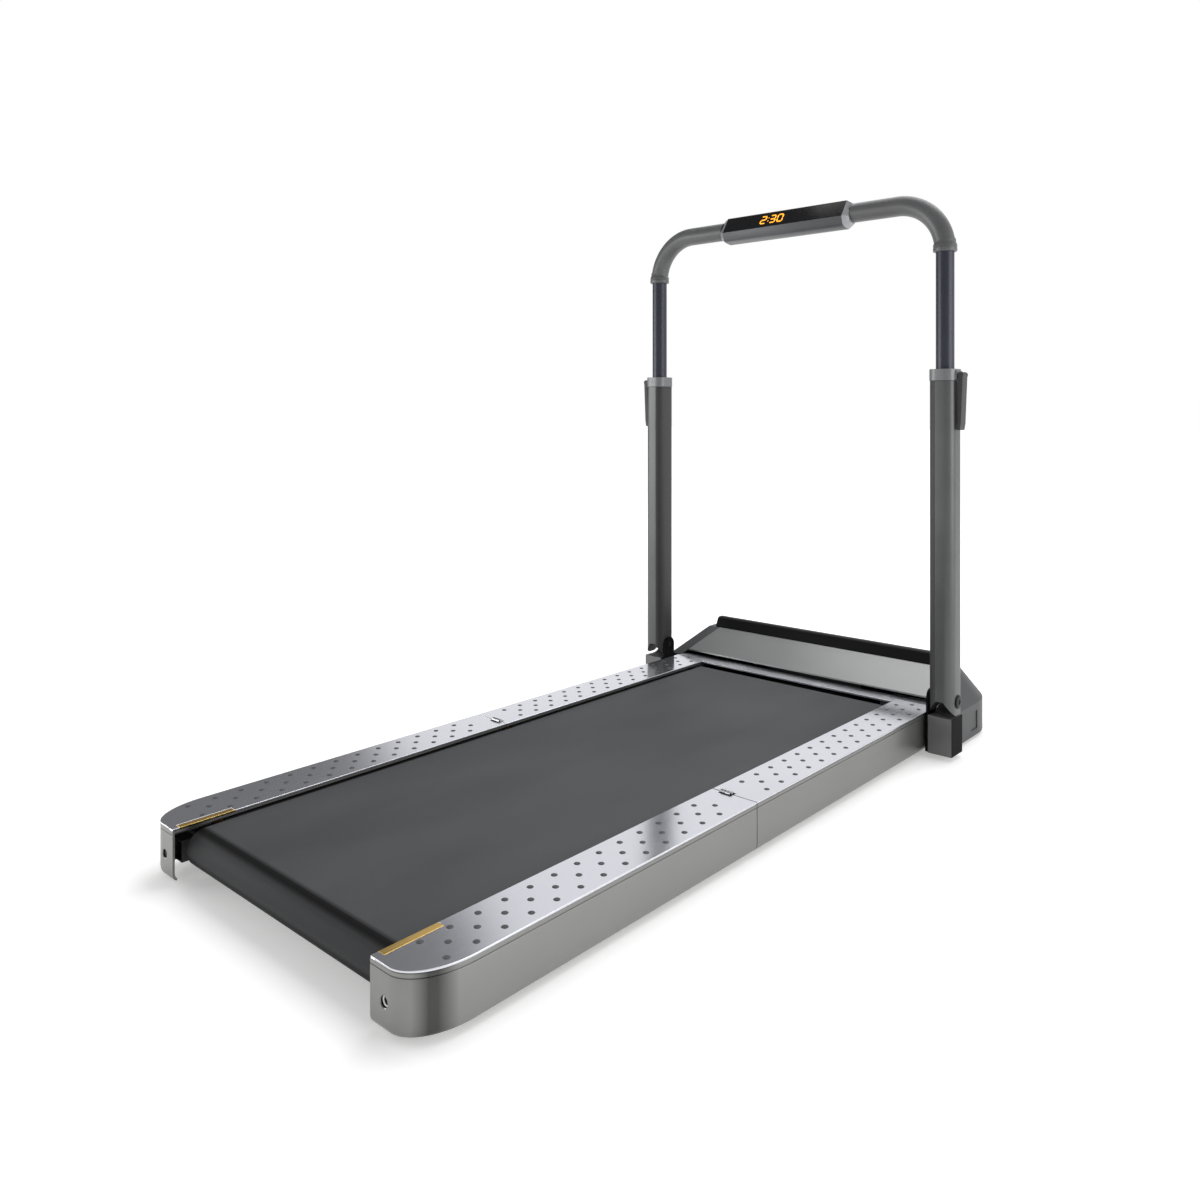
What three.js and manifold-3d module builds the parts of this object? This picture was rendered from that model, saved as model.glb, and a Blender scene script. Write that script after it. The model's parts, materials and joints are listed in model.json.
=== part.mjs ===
// A folding walking treadmill: a two-part running deck, a motor hood and a folding, telescoping handrail.
// Millimetres, +Z up, +Y towards the motor hood, +X to the walker's right. The origin is on the floor,
// under the middle of the machine.
import * as THREE from "three";
import { ConvexGeometry } from "three/addons/geometries/ConvexGeometry.js";
import { mergeVertices } from "three/addons/utils/BufferGeometryUtils.js";
import Module from "manifold-3d";

const wasm = await Module();
wasm.setup();

// Whole machine
const LENGTH = 1420;
const REAR_Y = -LENGTH / 2;
const FRONT_Y = LENGTH / 2;
const GAP = 0.3; // left between pieces that touch
const RUNNING_GAP = 0.75; // left on each side of the fold line

// Deck
const DECK_HALF = 296; // to the outside of the side rails
const RAIL_INNER = 220; // to the inner edge of the foot plates
const RAIL_BOTTOM = 8;
const RAIL_TOP = 76;
const PLATE = 2.5; // foot plate thickness
const WALL = 3; // side rail wall
const REAR_LENGTH = 587; // rear section, from its end to the fold line
const SEAM_Y = REAR_Y + REAR_LENGTH;
const RAIL_FRONT_Y = 468;
const CORNER_WIDE = 46; // the rear corners are quarter ellipses in plan
const CORNER_LONG = 75;

// Walking belt and its rollers
const BELT_HALF = 212;
const BELT_TOP = 69;
const BELT = 1.6;
const ROLLER_Z = 44;
const BELT_R = BELT_TOP - ROLLER_Z;
const ROLLER_R = BELT_R - BELT - GAP;
const REAR_ROLLER_Y = REAR_Y + 40;
const FRONT_ROLLER_Y = 435;
const AXLE_R = 8;
const ROLLER_HALF = 214;

// Boards and frame
const BOARD_HALF = 262;
const BOARD_TOP = BELT_TOP - BELT - GAP;
const BOARD = 15;
const TUBE_IN = 232; // inside face of the frame's side tubes
const TUBE_OUT = 258;
const TUBE_BOTTOM = 23;
const TUBE_TOP = BOARD_TOP - BOARD - GAP;
const TUBE_WALL = 2;

// Fold hinges
const HINGE_Z = RAIL_TOP + 0.5;
const KNUCKLE_R = 4;
const HINGE_PIN_R = 1.8;

// Motor hood
const HOOD_HALF = 330;
const COVER_WIDE = 28; // width of the dark cover on each end of the hood
const HOOD_REAR_Y = 478;
const HOOD_FOOT_Y = 495;
const HOOD_BOTTOM = 6;
const EAVE_Z = 66;
const HOOD_CORNER = 120;
const CROWN_INSET = 55; // how far the top is drawn in from the walls
const CROWN_Z = 134;
const HOOD_WALL = 3;
const RIDGE_HALF = 266;
const WHEEL_X = 245;
const WHEEL_Y = 660;
const WHEEL_R = 23;

// Handrail
const POST_X = 328;
const POST_Y = 441;
const POST_WIDE = 46; // along X
const POST_DEEP = 50; // along Y
const POST_ROUND = 16;
const POST_WALL = 2;
const POST_PIVOT_Z = 103;
const POST_TOP = 676;
const COLLAR_TOP = 697;
const PIN_R = 6;
const BAR_R = 16; // the telescoping handlebar tube
const BAR_Z = 1002.5;
const BEND = 90;
const LEG_BOTTOM = 545; // lower end of the handlebar's legs, inside the uprights
const GRIP_R = 18.7;
const GRIP_BOTTOM = 908;

// Console
const CONSOLE_HALF = 148;
const FACE_HALF = 137;
const BOARD_SEAT_HALF = 70;

const FINISH = {
  sideGrey: [0x8b8b89, 0.45, 0.6],
  plateSilver: [0xc9cacc, 0.35, 0.8],
  darkGrey: [0x4a4b4d, 0.5, 0.4],
  tubeGrey: [0x5d5e60, 0.4, 0.6],
  barDark: [0x2b2e3a, 0.45, 0.4],
  gripGrey: [0x6a6a6b, 0.7, 0.0],
  black: [0x111112, 0.5, 0.0],
  gloss: [0x050506, 0.1, 0.0],
  rubber: [0x18181a, 0.9, 0.0],
  belt: [0x4d4e50, 0.85, 0.0],
  steel: [0xa5a7aa, 0.3, 1.0],
  gold: [0xc7a24a, 0.35, 0.7],
  board: [0x6b563c, 0.8, 0.0],
  green: [0x1f5b3a, 0.6, 0.0],
  hoodGrey: [0x9c9c99, 0.4, 0.5],
};

const treadmill = new THREE.Group();
treadmill.name = "treadmill";

// ---- small tools --------------------------------------------------------------------------------

function addPiece(name, geometry, finish) {
  const [color, roughness, metalness] = FINISH[finish];
  const mesh = new THREE.Mesh(geometry, new THREE.MeshStandardMaterial({ color, roughness, metalness }));
  mesh.name = name;
  treadmill.add(mesh);
}

function solid(geometry) {
  const bare = geometry.clone();
  bare.deleteAttribute("normal");
  bare.deleteAttribute("uv");
  const merged = mergeVertices(bare, 1e-4);
  const vertProperties = new Float32Array(merged.attributes.position.array);
  const triVerts = new Uint32Array(merged.index.array);
  return new wasm.Manifold(new wasm.Mesh({ numProp: 3, vertProperties, triVerts }));
}

function shell(body) {
  const mesh = body.getMesh();
  const geometry = new THREE.BufferGeometry();
  geometry.setAttribute("position", new THREE.BufferAttribute(new Float32Array(mesh.vertProperties), 3));
  geometry.setIndex(new THREE.BufferAttribute(new Uint32Array(mesh.triVerts), 1));
  geometry.computeVertexNormals();
  return geometry;
}

function cut(geometry, ...tools) {
  return shell(tools.reduce((body, tool) => body.subtract(solid(tool)), solid(geometry)));
}

function join(geometry, ...others) {
  return shell(others.reduce((body, other) => body.add(solid(other)), solid(geometry)));
}

function common(geometry, ...others) {
  return shell(others.reduce((body, other) => body.intersect(solid(other)), solid(geometry)));
}

// The same piece for the other side of the machine.
function mirrored(geometry) {
  const flat = geometry.index ? geometry.toNonIndexed() : geometry.clone();
  const p = flat.attributes.position;
  const out = new Float32Array(p.count * 3);
  for (let i = 0; i < p.count; i++) {
    const j = i - (i % 3) + [0, 2, 1][i % 3];
    out.set([-p.getX(j), p.getY(j), p.getZ(j)], i * 3);
  }
  const copy = new THREE.BufferGeometry();
  copy.setAttribute("position", new THREE.BufferAttribute(out, 3));
  copy.computeVertexNormals();
  return copy;
}

function addPair(name, geometry, finish) {
  addPiece(`${name}_right`, geometry, finish);
  addPiece(`${name}_left`, mirrored(geometry), finish);
}

function block(x0, x1, y0, y1, z0, z1) {
  const geometry = new THREE.BoxGeometry(x1 - x0, y1 - y0, z1 - z0);
  return geometry.translate((x0 + x1) / 2, (y0 + y1) / 2, (z0 + z1) / 2);
}

function extrude(shape, depth, curveSegments) {
  return new THREE.ExtrudeGeometry(shape, { depth, bevelEnabled: false, curveSegments });
}

// A prism with its outline in X and Y, standing along Z.
function alongZ(shape, z0, z1, segments = 6) {
  return extrude(shape, z1 - z0, segments).translate(0, 0, z0);
}

// A prism with its outline in Y and Z, lying along X.
function alongX(shape, x0, x1, segments = 6) {
  const turn = new THREE.Matrix4().makeBasis(
    new THREE.Vector3(0, 1, 0),
    new THREE.Vector3(0, 0, 1),
    new THREE.Vector3(1, 0, 0),
  );
  return extrude(shape, x1 - x0, segments).applyMatrix4(turn).translate(x0, 0, 0);
}

// A prism with its outline in X and Z, lying along Y.
function alongY(shape, y0, y1, segments = 6) {
  return extrude(shape, y1 - y0, segments).rotateX(Math.PI / 2).translate(0, y1, 0);
}

function polygon(...points) {
  return new THREE.Shape(points.map(([a, b]) => new THREE.Vector2(a, b)));
}

function circle(a, b, radius, Kind = THREE.Shape) {
  const shape = new Kind();
  shape.absarc(a, b, radius, 0, 2 * Math.PI, false);
  return shape;
}

function disc(a, b, radius, hole = 0) {
  const shape = circle(a, b, radius);
  if (hole > 0) shape.holes.push(circle(a, b, hole, THREE.Path));
  return shape;
}

function roundedRect(cx, cy, wide, deep, radius, Kind = THREE.Shape) {
  const shape = new Kind();
  const x = wide / 2 - radius;
  const y = deep / 2 - radius;
  shape.absarc(cx + x, cy - y, radius, -Math.PI / 2, 0, false);
  shape.absarc(cx + x, cy + y, radius, 0, Math.PI / 2, false);
  shape.absarc(cx - x, cy + y, radius, Math.PI / 2, Math.PI, false);
  shape.absarc(cx - x, cy - y, radius, Math.PI, 1.5 * Math.PI, false);
  shape.closePath();
  return shape;
}

// ---- side rails and foot plates -----------------------------------------------------------------

// Plan outline of one rear rail, with its long rounded outer corner, drawn in by `inset`.
function rearOutline(inset, inner) {
  const x = DECK_HALF - CORNER_WIDE;
  const y = REAR_Y + CORNER_LONG;
  const outline = new THREE.Shape();
  outline.moveTo(inner, REAR_Y + inset);
  outline.lineTo(x, REAR_Y + inset);
  outline.absellipse(x, y, CORNER_WIDE - inset, CORNER_LONG - inset, -Math.PI / 2, 0, false);
  outline.lineTo(DECK_HALF - inset, SEAM_Y - RUNNING_GAP);
  outline.lineTo(inner, SEAM_Y - RUNNING_GAP);
  outline.closePath();
  return outline;
}

// Room for the fold hinge's knuckles, in both rails and both foot plates.
function hingeNotch() {
  return block(234, 256, SEAM_Y - 7, SEAM_Y + 7, 64, RAIL_TOP + 8);
}

const rearBolt = { x: 243, z: 38, radius: 5.5 };

function rearRail() {
  const top = RAIL_TOP - PLATE - GAP;
  const body = alongZ(rearOutline(0, RAIL_INNER), RAIL_BOTTOM, top, 12);
  const hollow = alongZ(rearOutline(WALL, RAIL_INNER - 5), RAIL_BOTTOM - 1, top - WALL, 12);
  const hollowEnd = block(RAIL_INNER - 5, DECK_HALF - WALL, SEAM_Y - 5, SEAM_Y, RAIL_BOTTOM - 1, top - WALL);
  const boltHole = alongY(circle(rearBolt.x, rearBolt.z, rearBolt.radius), REAR_Y - 1, REAR_Y + 8);
  return cut(body, hollow, hollowEnd, boltHole, hingeNotch());
}

function frontRail() {
  const top = RAIL_TOP - PLATE - GAP;
  const y0 = SEAM_Y + RUNNING_GAP;
  const body = block(RAIL_INNER, DECK_HALF, y0, RAIL_FRONT_Y, RAIL_BOTTOM, top);
  const side = DECK_HALF - WALL;
  const hollow = block(RAIL_INNER - 1, side, y0 - 1, RAIL_FRONT_Y + 1, RAIL_BOTTOM - 1, top - WALL);
  return cut(body, hollow, hingeNotch());
}

function accentPocket(grow) {
  const y = REAR_Y + 10;
  const bottom = RAIL_TOP - 1.2 - grow;
  return block(RAIL_INNER - 1, RAIL_INNER + 10 + grow, y - grow, y + 76 + grow, bottom, RAIL_TOP + 1);
}

function rearPlate() {
  const plate = alongZ(rearOutline(0, RAIL_INNER), RAIL_TOP - PLATE, RAIL_TOP, 12);
  return cut(plate, accentPocket(GAP), hingeNotch());
}

function frontPlate() {
  const plate = block(RAIL_INNER, DECK_HALF, SEAM_Y + RUNNING_GAP, RAIL_FRONT_Y, RAIL_TOP - PLATE, RAIL_TOP);
  return cut(plate, hingeNotch());
}

function accentStrip() {
  const y = REAR_Y + 10;
  return block(RAIL_INNER, RAIL_INNER + 10, y, y + 76, RAIL_TOP - 1.2, RAIL_TOP);
}

addPair("side_rail_rear", rearRail(), "sideGrey");
addPair("side_rail_front", frontRail(), "sideGrey");
addPair("foot_plate_rear", rearPlate(), "plateSilver");
addPair("foot_plate_front", frontPlate(), "plateSilver");
addPair("accent_strip", accentStrip(), "gold");

// ---- frame, boards and fold hinges --------------------------------------------------------------

// A side tube, open at both ends.
function sideTube(y0, y1) {
  const outer = block(TUBE_IN, TUBE_OUT, y0, y1, TUBE_BOTTOM, TUBE_TOP);
  const bore = block(
    TUBE_IN + TUBE_WALL,
    TUBE_OUT - TUBE_WALL,
    y0 - 1,
    y1 + 1,
    TUBE_BOTTOM + TUBE_WALL,
    TUBE_TOP - TUBE_WALL,
  );
  return cut(outer, bore);
}

// A cross member, folded from sheet and open below, between the belt's two runs.
function crossMember(y) {
  const half = TUBE_IN + 1;
  const outer = block(-half, half, y - 20, y + 20, TUBE_BOTTOM + 4, TUBE_TOP);
  const inside = block(-half - 1, half + 1, y - 18, y + 18, TUBE_BOTTOM, TUBE_TOP - 2);
  return cut(outer, inside);
}

// One knuckle of the fold hinge, with its leaf down to the side tube. `side` is +1 ahead of the fold line.
function hingeLeaf(x0, x1, side) {
  const span = (near, far) => [SEAM_Y + side * near, SEAM_Y + side * far].sort((a, b) => a - b);
  const leaf = block(x0, x1, ...span(1.5, 6), TUBE_TOP - 12, HINGE_Z + 1);
  const knuckle = alongX(circle(SEAM_Y, HINGE_Z, KNUCKLE_R), x0, x1, 8);
  const bore = alongX(circle(SEAM_Y, HINGE_Z, HINGE_PIN_R + GAP), x0 - 1, x1 + 1, 8);
  const foot = block(x0, x1, ...span(1.5, 14), TUBE_TOP - 12, TUBE_TOP);
  return cut(join(leaf, knuckle, foot), bore);
}

function axleHole(y, x0, x1) {
  return alongX(circle(y, ROLLER_Z, AXLE_R + GAP), x0, x1, 8);
}

function frame(tubeY0, tubeY1, crossYs, leafX, side, axleY) {
  const right = join(sideTube(tubeY0, tubeY1), hingeLeaf(leafX[0], leafX[1], side));
  let body = solid(right).add(solid(mirrored(right)));
  for (const y of crossYs) body = body.add(solid(crossMember(y)));
  return cut(shell(body), axleHole(axleY, -TUBE_OUT - 5, TUBE_OUT + 5));
}

function board(y0, y1) {
  return block(-BOARD_HALF, BOARD_HALF, y0, y1, BOARD_TOP - BOARD, BOARD_TOP);
}

const frontCross = [-80, 130, 340];
const rearCross = [-620, -400, -180];
addPiece("frame_front", frame(SEAM_Y + 8, 466, frontCross, [236, 244], 1, FRONT_ROLLER_Y), "black");
addPiece("frame_rear", frame(REAR_Y + 18, SEAM_Y - 8, rearCross, [245, 253], -1, REAR_ROLLER_Y), "black");
addPiece("deck_board_front", board(SEAM_Y + 12, FRONT_ROLLER_Y - 32), "board");
addPiece("deck_board_rear", board(REAR_ROLLER_Y + 32, SEAM_Y - 12), "board");
addPair("hinge_pin", alongX(circle(SEAM_Y, HINGE_Z, HINGE_PIN_R), 235, 254, 8), "steel");

// ---- walking belt and rollers -------------------------------------------------------------------

// Half of the belt loop: round one roller, and open at the fold line. `end` is -1 for the rear half.
function beltHalf(rollerY, end) {
  const seam = SEAM_Y + end * RUNNING_GAP;
  const inner = BELT_R - BELT;
  const rear = end < 0;
  const below = rear ? 1.5 * Math.PI : -0.5 * Math.PI;
  const shape = new THREE.Shape();
  shape.moveTo(seam, ROLLER_Z + BELT_R);
  shape.lineTo(rollerY, ROLLER_Z + BELT_R);
  shape.absarc(rollerY, ROLLER_Z, BELT_R, Math.PI / 2, below, !rear);
  shape.lineTo(seam, ROLLER_Z - BELT_R);
  shape.lineTo(seam, ROLLER_Z - inner);
  shape.absarc(rollerY, ROLLER_Z, inner, below, Math.PI / 2, rear);
  shape.lineTo(seam, ROLLER_Z + inner);
  shape.closePath();
  return alongX(shape, -BELT_HALF, BELT_HALF, 16);
}

function roller(y) {
  return alongX(disc(y, ROLLER_Z, ROLLER_R, AXLE_R + GAP), -ROLLER_HALF, ROLLER_HALF, 14);
}

function axle(y) {
  return alongX(circle(y, ROLLER_Z, AXLE_R), -TUBE_OUT - 3, TUBE_OUT + 3, 8);
}

// The rear axle is pulled back by a bolt through each side rail's end.
function tensionBolt() {
  const head = alongY(disc(rearBolt.x, rearBolt.z, 4.6), REAR_Y + 3.5, REAR_Y + 9);
  const shank = alongY(disc(rearBolt.x, rearBolt.z, 3), REAR_Y + 9, REAR_Y + 16);
  return join(head, shank);
}

addPiece("walking_belt_front", beltHalf(FRONT_ROLLER_Y, 1), "belt");
addPiece("walking_belt_rear", beltHalf(REAR_ROLLER_Y, -1), "belt");
addPiece("front_roller", roller(FRONT_ROLLER_Y), "steel");
addPiece("rear_roller", roller(REAR_ROLLER_Y), "steel");
addPiece("front_roller_axle", axle(FRONT_ROLLER_Y), "steel");
addPiece("rear_roller_axle", axle(REAR_ROLLER_Y), "steel");
addPair("tension_bolt", tensionBolt(), "steel");

// ---- motor and drive ----------------------------------------------------------------------------

const MOTOR_Y = 580;
const MOTOR_Z = 62;
const MOTOR_R = 34;
const DRIVE_X0 = -228;
const DRIVE_X1 = -217;
const ROLLER_PULLEY_R = 20;
const MOTOR_PULLEY_R = 11;
const DRIVE_BELT = 3;

// The drive belt's outline round both pulleys, `off` outside them.
function driveLoop(off, Kind) {
  const y = MOTOR_Y - FRONT_ROLLER_Y;
  const z = MOTOR_Z - ROLLER_Z;
  const lean = Math.atan2(z, y);
  const wrap = Math.acos((ROLLER_PULLEY_R - MOTOR_PULLEY_R) / Math.hypot(y, z));
  const loop = new Kind();
  loop.absarc(MOTOR_Y, MOTOR_Z, MOTOR_PULLEY_R + off, lean - wrap, lean + wrap, false);
  loop.absarc(FRONT_ROLLER_Y, ROLLER_Z, ROLLER_PULLEY_R + off, lean + wrap, lean + 2 * Math.PI - wrap, false);
  loop.closePath();
  return loop;
}

function driveBelt() {
  const loop = driveLoop(GAP + DRIVE_BELT, THREE.Shape);
  loop.holes.push(driveLoop(GAP, THREE.Path));
  return alongX(loop, DRIVE_X0 + 1, DRIVE_X1 - 1, 10);
}

function motorHousing() {
  const can = alongX(disc(MOTOR_Y, MOTOR_Z, MOTOR_R, 7), -110, 110, 12);
  const base = block(-80, 80, MOTOR_Y - 28, MOTOR_Y + 28, 17 + GAP, MOTOR_Z - 26);
  const bore = alongX(circle(MOTOR_Y, MOTOR_Z, 7), -111, 111, 12);
  return cut(join(can, base), bore);
}

function motorRotor() {
  const shaft = alongX(circle(MOTOR_Y, MOTOR_Z, 6), DRIVE_X0, 118, 10);
  const pulley = alongX(circle(MOTOR_Y, MOTOR_Z, MOTOR_PULLEY_R), DRIVE_X0, DRIVE_X1, 12);
  return join(shaft, pulley);
}

function heatSink() {
  const fins = Array.from({ length: 7 }, (_, i) => block(150, 250, 547 + i * 10, 551 + i * 10, 24, 44));
  return join(block(150, 250, 545, 613, 20, 25), ...fins);
}

const pulleyDisc = disc(FRONT_ROLLER_Y, ROLLER_Z, ROLLER_PULLEY_R, AXLE_R + GAP);
addPiece("roller_pulley", alongX(pulleyDisc, DRIVE_X0, DRIVE_X1, 12), "black");
addPiece("motor_housing", motorHousing(), "black");
addPiece("motor_rotor", motorRotor(), "steel");
addPiece("drive_belt", driveBelt(), "rubber");
addPiece("heat_sink", heatSink(), "steel");
addPiece("controller_board", block(140, 260, 540, 618, 17.6, 19.4), "green");

// ---- motor hood ---------------------------------------------------------------------------------

// Plan outline of the hood, square at the rear and rounded at the front, drawn in by `inset`.
function hoodOutline(inset) {
  const r = HOOD_CORNER - inset;
  const x = HOOD_HALF - HOOD_CORNER;
  const y = FRONT_Y - HOOD_CORNER;
  const outline = new THREE.Shape();
  outline.moveTo(-HOOD_HALF + inset, HOOD_REAR_Y);
  outline.lineTo(HOOD_HALF - inset, HOOD_REAR_Y);
  outline.absarc(x, y, r, 0, Math.PI / 2, false);
  outline.absarc(-x, y, r, Math.PI / 2, Math.PI, false);
  outline.closePath();
  return outline;
}

function ring(outline, z) {
  return outline.getPoints(12).map((p) => new THREE.Vector3(p.x, p.y, z));
}

// The whole hood as one solid, drawn in by `inset`: upright walls, a drawn-in crown and a sloping back.
function hoodSolid(inset, rearY) {
  const body = new ConvexGeometry([
    ...ring(hoodOutline(inset), HOOD_BOTTOM - inset),
    ...ring(hoodOutline(inset), EAVE_Z - inset * 0.5),
    ...ring(hoodOutline(inset + CROWN_INSET), CROWN_Z - inset),
  ]);
  const profile = polygon(
    [rearY, HOOD_BOTTOM - 20],
    [rearY, 74 - inset],
    [HOOD_FOOT_Y, 85 - inset],
    [566, 126.5 - inset],
    [602, 127 - inset],
    [655, 118 - inset],
    [FRONT_Y, 64 - inset],
    [FRONT_Y, HOOD_BOTTOM - 20],
  );
  return common(body, alongX(profile, -HOOD_HALF, HOOD_HALF));
}

const ridgeSeat = block(-RIDGE_HALF - GAP, RIDGE_HALF + GAP, 568, 600, 125.8, 200);
const inletHole = block(-214, -186, FRONT_Y - 20, FRONT_Y + 5, 20, 42);
const switchHole = block(-172, -150, FRONT_Y - 20, FRONT_Y + 5, 22, 40);

const hood = cut(hoodSolid(0, HOOD_REAR_Y), hoodSolid(HOOD_WALL, HOOD_REAR_Y - 5));

// What lies between the two covers: their joint runs parallel to the hood's leaning ends.
function betweenCovers(grow, rearY) {
  const low = HOOD_HALF - COVER_WIDE + grow;
  const lean = CROWN_INSET / (CROWN_Z - EAVE_Z);
  const high = low - lean * (200 - EAVE_Z);
  const half = [[low, 0], [low, EAVE_Z], [high, 200]];
  const outline = polygon(...half, ...half.map(([x, z]) => [-x, z]).reverse());
  return alongY(outline, rearY, FRONT_Y + 2);
}

function hoodShell() {
  const keep = betweenCovers(0, HOOD_FOOT_Y);
  return cut(common(hood, keep), inletHole, switchHole, ridgeSeat);
}

// The cover on each end of the hood, with an upright slot in its side.
function hoodEndCover() {
  const keep = block(0, HOOD_HALF + 1, HOOD_REAR_Y - 1, FRONT_Y + 1, 0, 200);
  const slot = block(HOOD_HALF - 1.8, HOOD_HALF + 1, 556, 586, 18, 52);
  return cut(common(hood, keep), betweenCovers(GAP, HOOD_REAR_Y - 5), ridgeSeat, slot);
}

function ridgeStrip() {
  const profile = new THREE.Shape();
  profile.moveTo(568.3, 126.1);
  profile.lineTo(599.7, 126.1);
  profile.lineTo(601, 136);
  profile.absarc(592, 139, 9, 0, Math.PI / 2, false);
  profile.absarc(584, 139, 9, Math.PI / 2, Math.PI * 0.9, false);
  profile.closePath();
  return alongX(profile, -RIDGE_HALF, RIDGE_HALF, 4);
}

// The bright strip at the hood's foot. Between the rails it reaches back over the belt's end.
function trimStrip() {
  const half = DECK_HALF - 3;
  const across = block(-half, half, RAIL_FRONT_Y + GAP, HOOD_FOOT_Y - GAP, 72, RAIL_TOP);
  const lip = block(-RAIL_INNER + 1, RAIL_INNER - 1, RAIL_FRONT_Y - 15, HOOD_FOOT_Y - GAP, 72, RAIL_TOP);
  return join(across, lip);
}

// A fork and an axle for one transport wheel.
function wheelFork() {
  const ear = polygon([640, 16], [680, 16], [668, 31], [652, 31]);
  const inner = alongX(ear, WHEEL_X - 17.5, WHEEL_X - 14.5);
  const outer = alongX(ear, WHEEL_X + 14.5, WHEEL_X + 17.5);
  const pin = alongX(circle(WHEEL_Y, WHEEL_R, 4), WHEEL_X - 17.5, WHEEL_X + 17.5);
  return join(inner, outer, pin);
}

// The pan under the hood, open over each transport wheel.
function bottomPan() {
  const sheet = block(-HOOD_HALF, HOOD_HALF, HOOD_REAR_Y, FRONT_Y, 13, 17);
  const tongue = block(-TUBE_OUT, TUBE_OUT, 410, HOOD_REAR_Y + 1, 13, 17);
  const plate = join(common(sheet, alongZ(hoodOutline(HOOD_WALL + 1), 0, 40)), tongue);
  const window = block(WHEEL_X - 14, WHEEL_X + 14, WHEEL_Y - 30, WHEEL_Y + 30, 0, 40);
  return join(cut(plate, window, mirrored(window)), wheelFork(), mirrored(wheelFork()));
}

addPiece("hood_shell", hoodShell(), "hoodGrey");
addPair("hood_end_cover", hoodEndCover(), "darkGrey");
addPiece("hood_ridge_strip", ridgeStrip(), "black");
addPiece("hood_trim_strip", trimStrip(), "plateSilver");
addPiece("bottom_pan", bottomPan(), "black");
const wheel = alongX(disc(WHEEL_Y, WHEEL_R, WHEEL_R, 4.5), WHEEL_X - 10, WHEEL_X + 10, 12);
addPair("transport_wheel", wheel, "rubber");

// ---- power inlet and switch ---------------------------------------------------------------------

// The socket for a mains lead, let into the hood's front wall, with three contact slots.
function powerInlet() {
  const y = FRONT_Y - 14;
  const body = block(-213.5, -186.5, y, FRONT_Y - 0.5, 20.5, 41.5);
  const mouth = block(-210, -190, y + 4, FRONT_Y + 1, 24, 38);
  const contact = (x, z) => block(x - 1, x + 1, y + 2, y + 6, z - 3, z + 3);
  return cut(body, mouth, contact(-206, 29), contact(-194, 29), contact(-200, 34));
}

// A rocker, pivoted across its middle.
function powerSwitch() {
  const rocker = polygon(
    [FRONT_Y - 9, 25],
    [FRONT_Y - 1.2, 23.2],
    [FRONT_Y - 2.4, 31],
    [FRONT_Y + 0, 38.4],
    [FRONT_Y - 9, 37],
  );
  return alongX(rocker, -170, -152);
}

addPiece("power_inlet", powerInlet(), "black");
addPiece("power_switch", powerSwitch(), "black");

// ---- handrail -----------------------------------------------------------------------------------

const EAR_X0 = 298.8;
const EAR_X1 = 304;
const POST_OUT = POST_X + POST_WIDE / 2;

// The block under one upright, with the ear that carries its pivot pin.
function postBracket() {
  const base = block(305.5, POST_OUT - 1, POST_Y - 24, POST_Y + 24, RAIL_BOTTOM, 76);
  const cradle = alongX(circle(POST_Y, POST_PIVOT_Z, POST_DEEP / 2 + 2.5), 300, 360, 16);
  const web = block(EAR_X0, 306, POST_Y - 20, POST_Y + 20, RAIL_BOTTOM, 70);
  const ear = block(EAR_X0, EAR_X1, POST_Y - 16, POST_Y + 16, RAIL_BOTTOM, POST_PIVOT_Z);
  const earTop = alongX(circle(POST_Y, POST_PIVOT_Z, 16), EAR_X0, EAR_X1, 10);
  const bore = alongX(circle(POST_Y, POST_PIVOT_Z, PIN_R + GAP), 290, 310, 8);
  return cut(join(cut(join(base, web), cradle), ear, earTop), bore);
}

// A shoulder pin through the ear and the upright, with a broad head outside.
function postPin() {
  const shank = alongX(circle(POST_Y, POST_PIVOT_Z, PIN_R), EAR_X0, POST_OUT + 1, 8);
  const head = alongX(circle(POST_Y, POST_PIVOT_Z, 12), POST_OUT + GAP, POST_OUT + 3, 8);
  return join(shank, head);
}

// An upright: a rounded box tube, closed at its foot by a round-bottomed casting round the pin.
function post() {
  const footTop = POST_PIVOT_Z + 26;
  const outline = roundedRect(POST_X, POST_Y, POST_WIDE, POST_DEEP, POST_ROUND);
  const tube = alongZ(outline, POST_PIVOT_Z, POST_TOP, 4);
  const boreWide = POST_WIDE - 2 * POST_WALL;
  const boreDeep = POST_DEEP - 2 * POST_WALL;
  const bore = roundedRect(POST_X, POST_Y, boreWide, boreDeep, POST_ROUND - POST_WALL);
  const knuckle = common(
    alongX(circle(POST_Y, POST_PIVOT_Z, POST_DEEP / 2), POST_X - POST_WIDE / 2, POST_OUT, 16),
    alongZ(outline, 0, POST_TOP, 4),
  );
  const pinHole = alongX(circle(POST_Y, POST_PIVOT_Z, PIN_R + GAP), 290, 370, 8);
  return cut(join(tube, knuckle), alongZ(bore, footTop, POST_TOP + 1, 4), pinHole);
}

// The clamp collar on top of an upright, with the boss that carries its lever.
function collar() {
  const outline = roundedRect(POST_X, POST_Y, POST_WIDE + 2, POST_DEEP + 2, POST_ROUND + 1);
  const body = alongZ(outline, POST_TOP + GAP, COLLAR_TOP, 4);
  const skirt = roundedRect(POST_X, POST_Y, POST_WIDE - 5, POST_DEEP - 5, POST_ROUND - POST_WALL - 0.5);
  const guide = alongZ(skirt, POST_TOP - 60, POST_TOP + 1, 4);
  const bore = alongZ(circle(POST_X, POST_Y, BAR_R + GAP), POST_TOP - 61, COLLAR_TOP + 1, 10);
  const boss = block(POST_OUT - 2, POST_OUT + 3, POST_Y - 12, POST_Y + 12, POST_TOP + 3, COLLAR_TOP - 3);
  return cut(join(body, guide, boss), bore);
}

const LEVER_X = POST_OUT + 9;
const LEVER_Z = 686;

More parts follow.
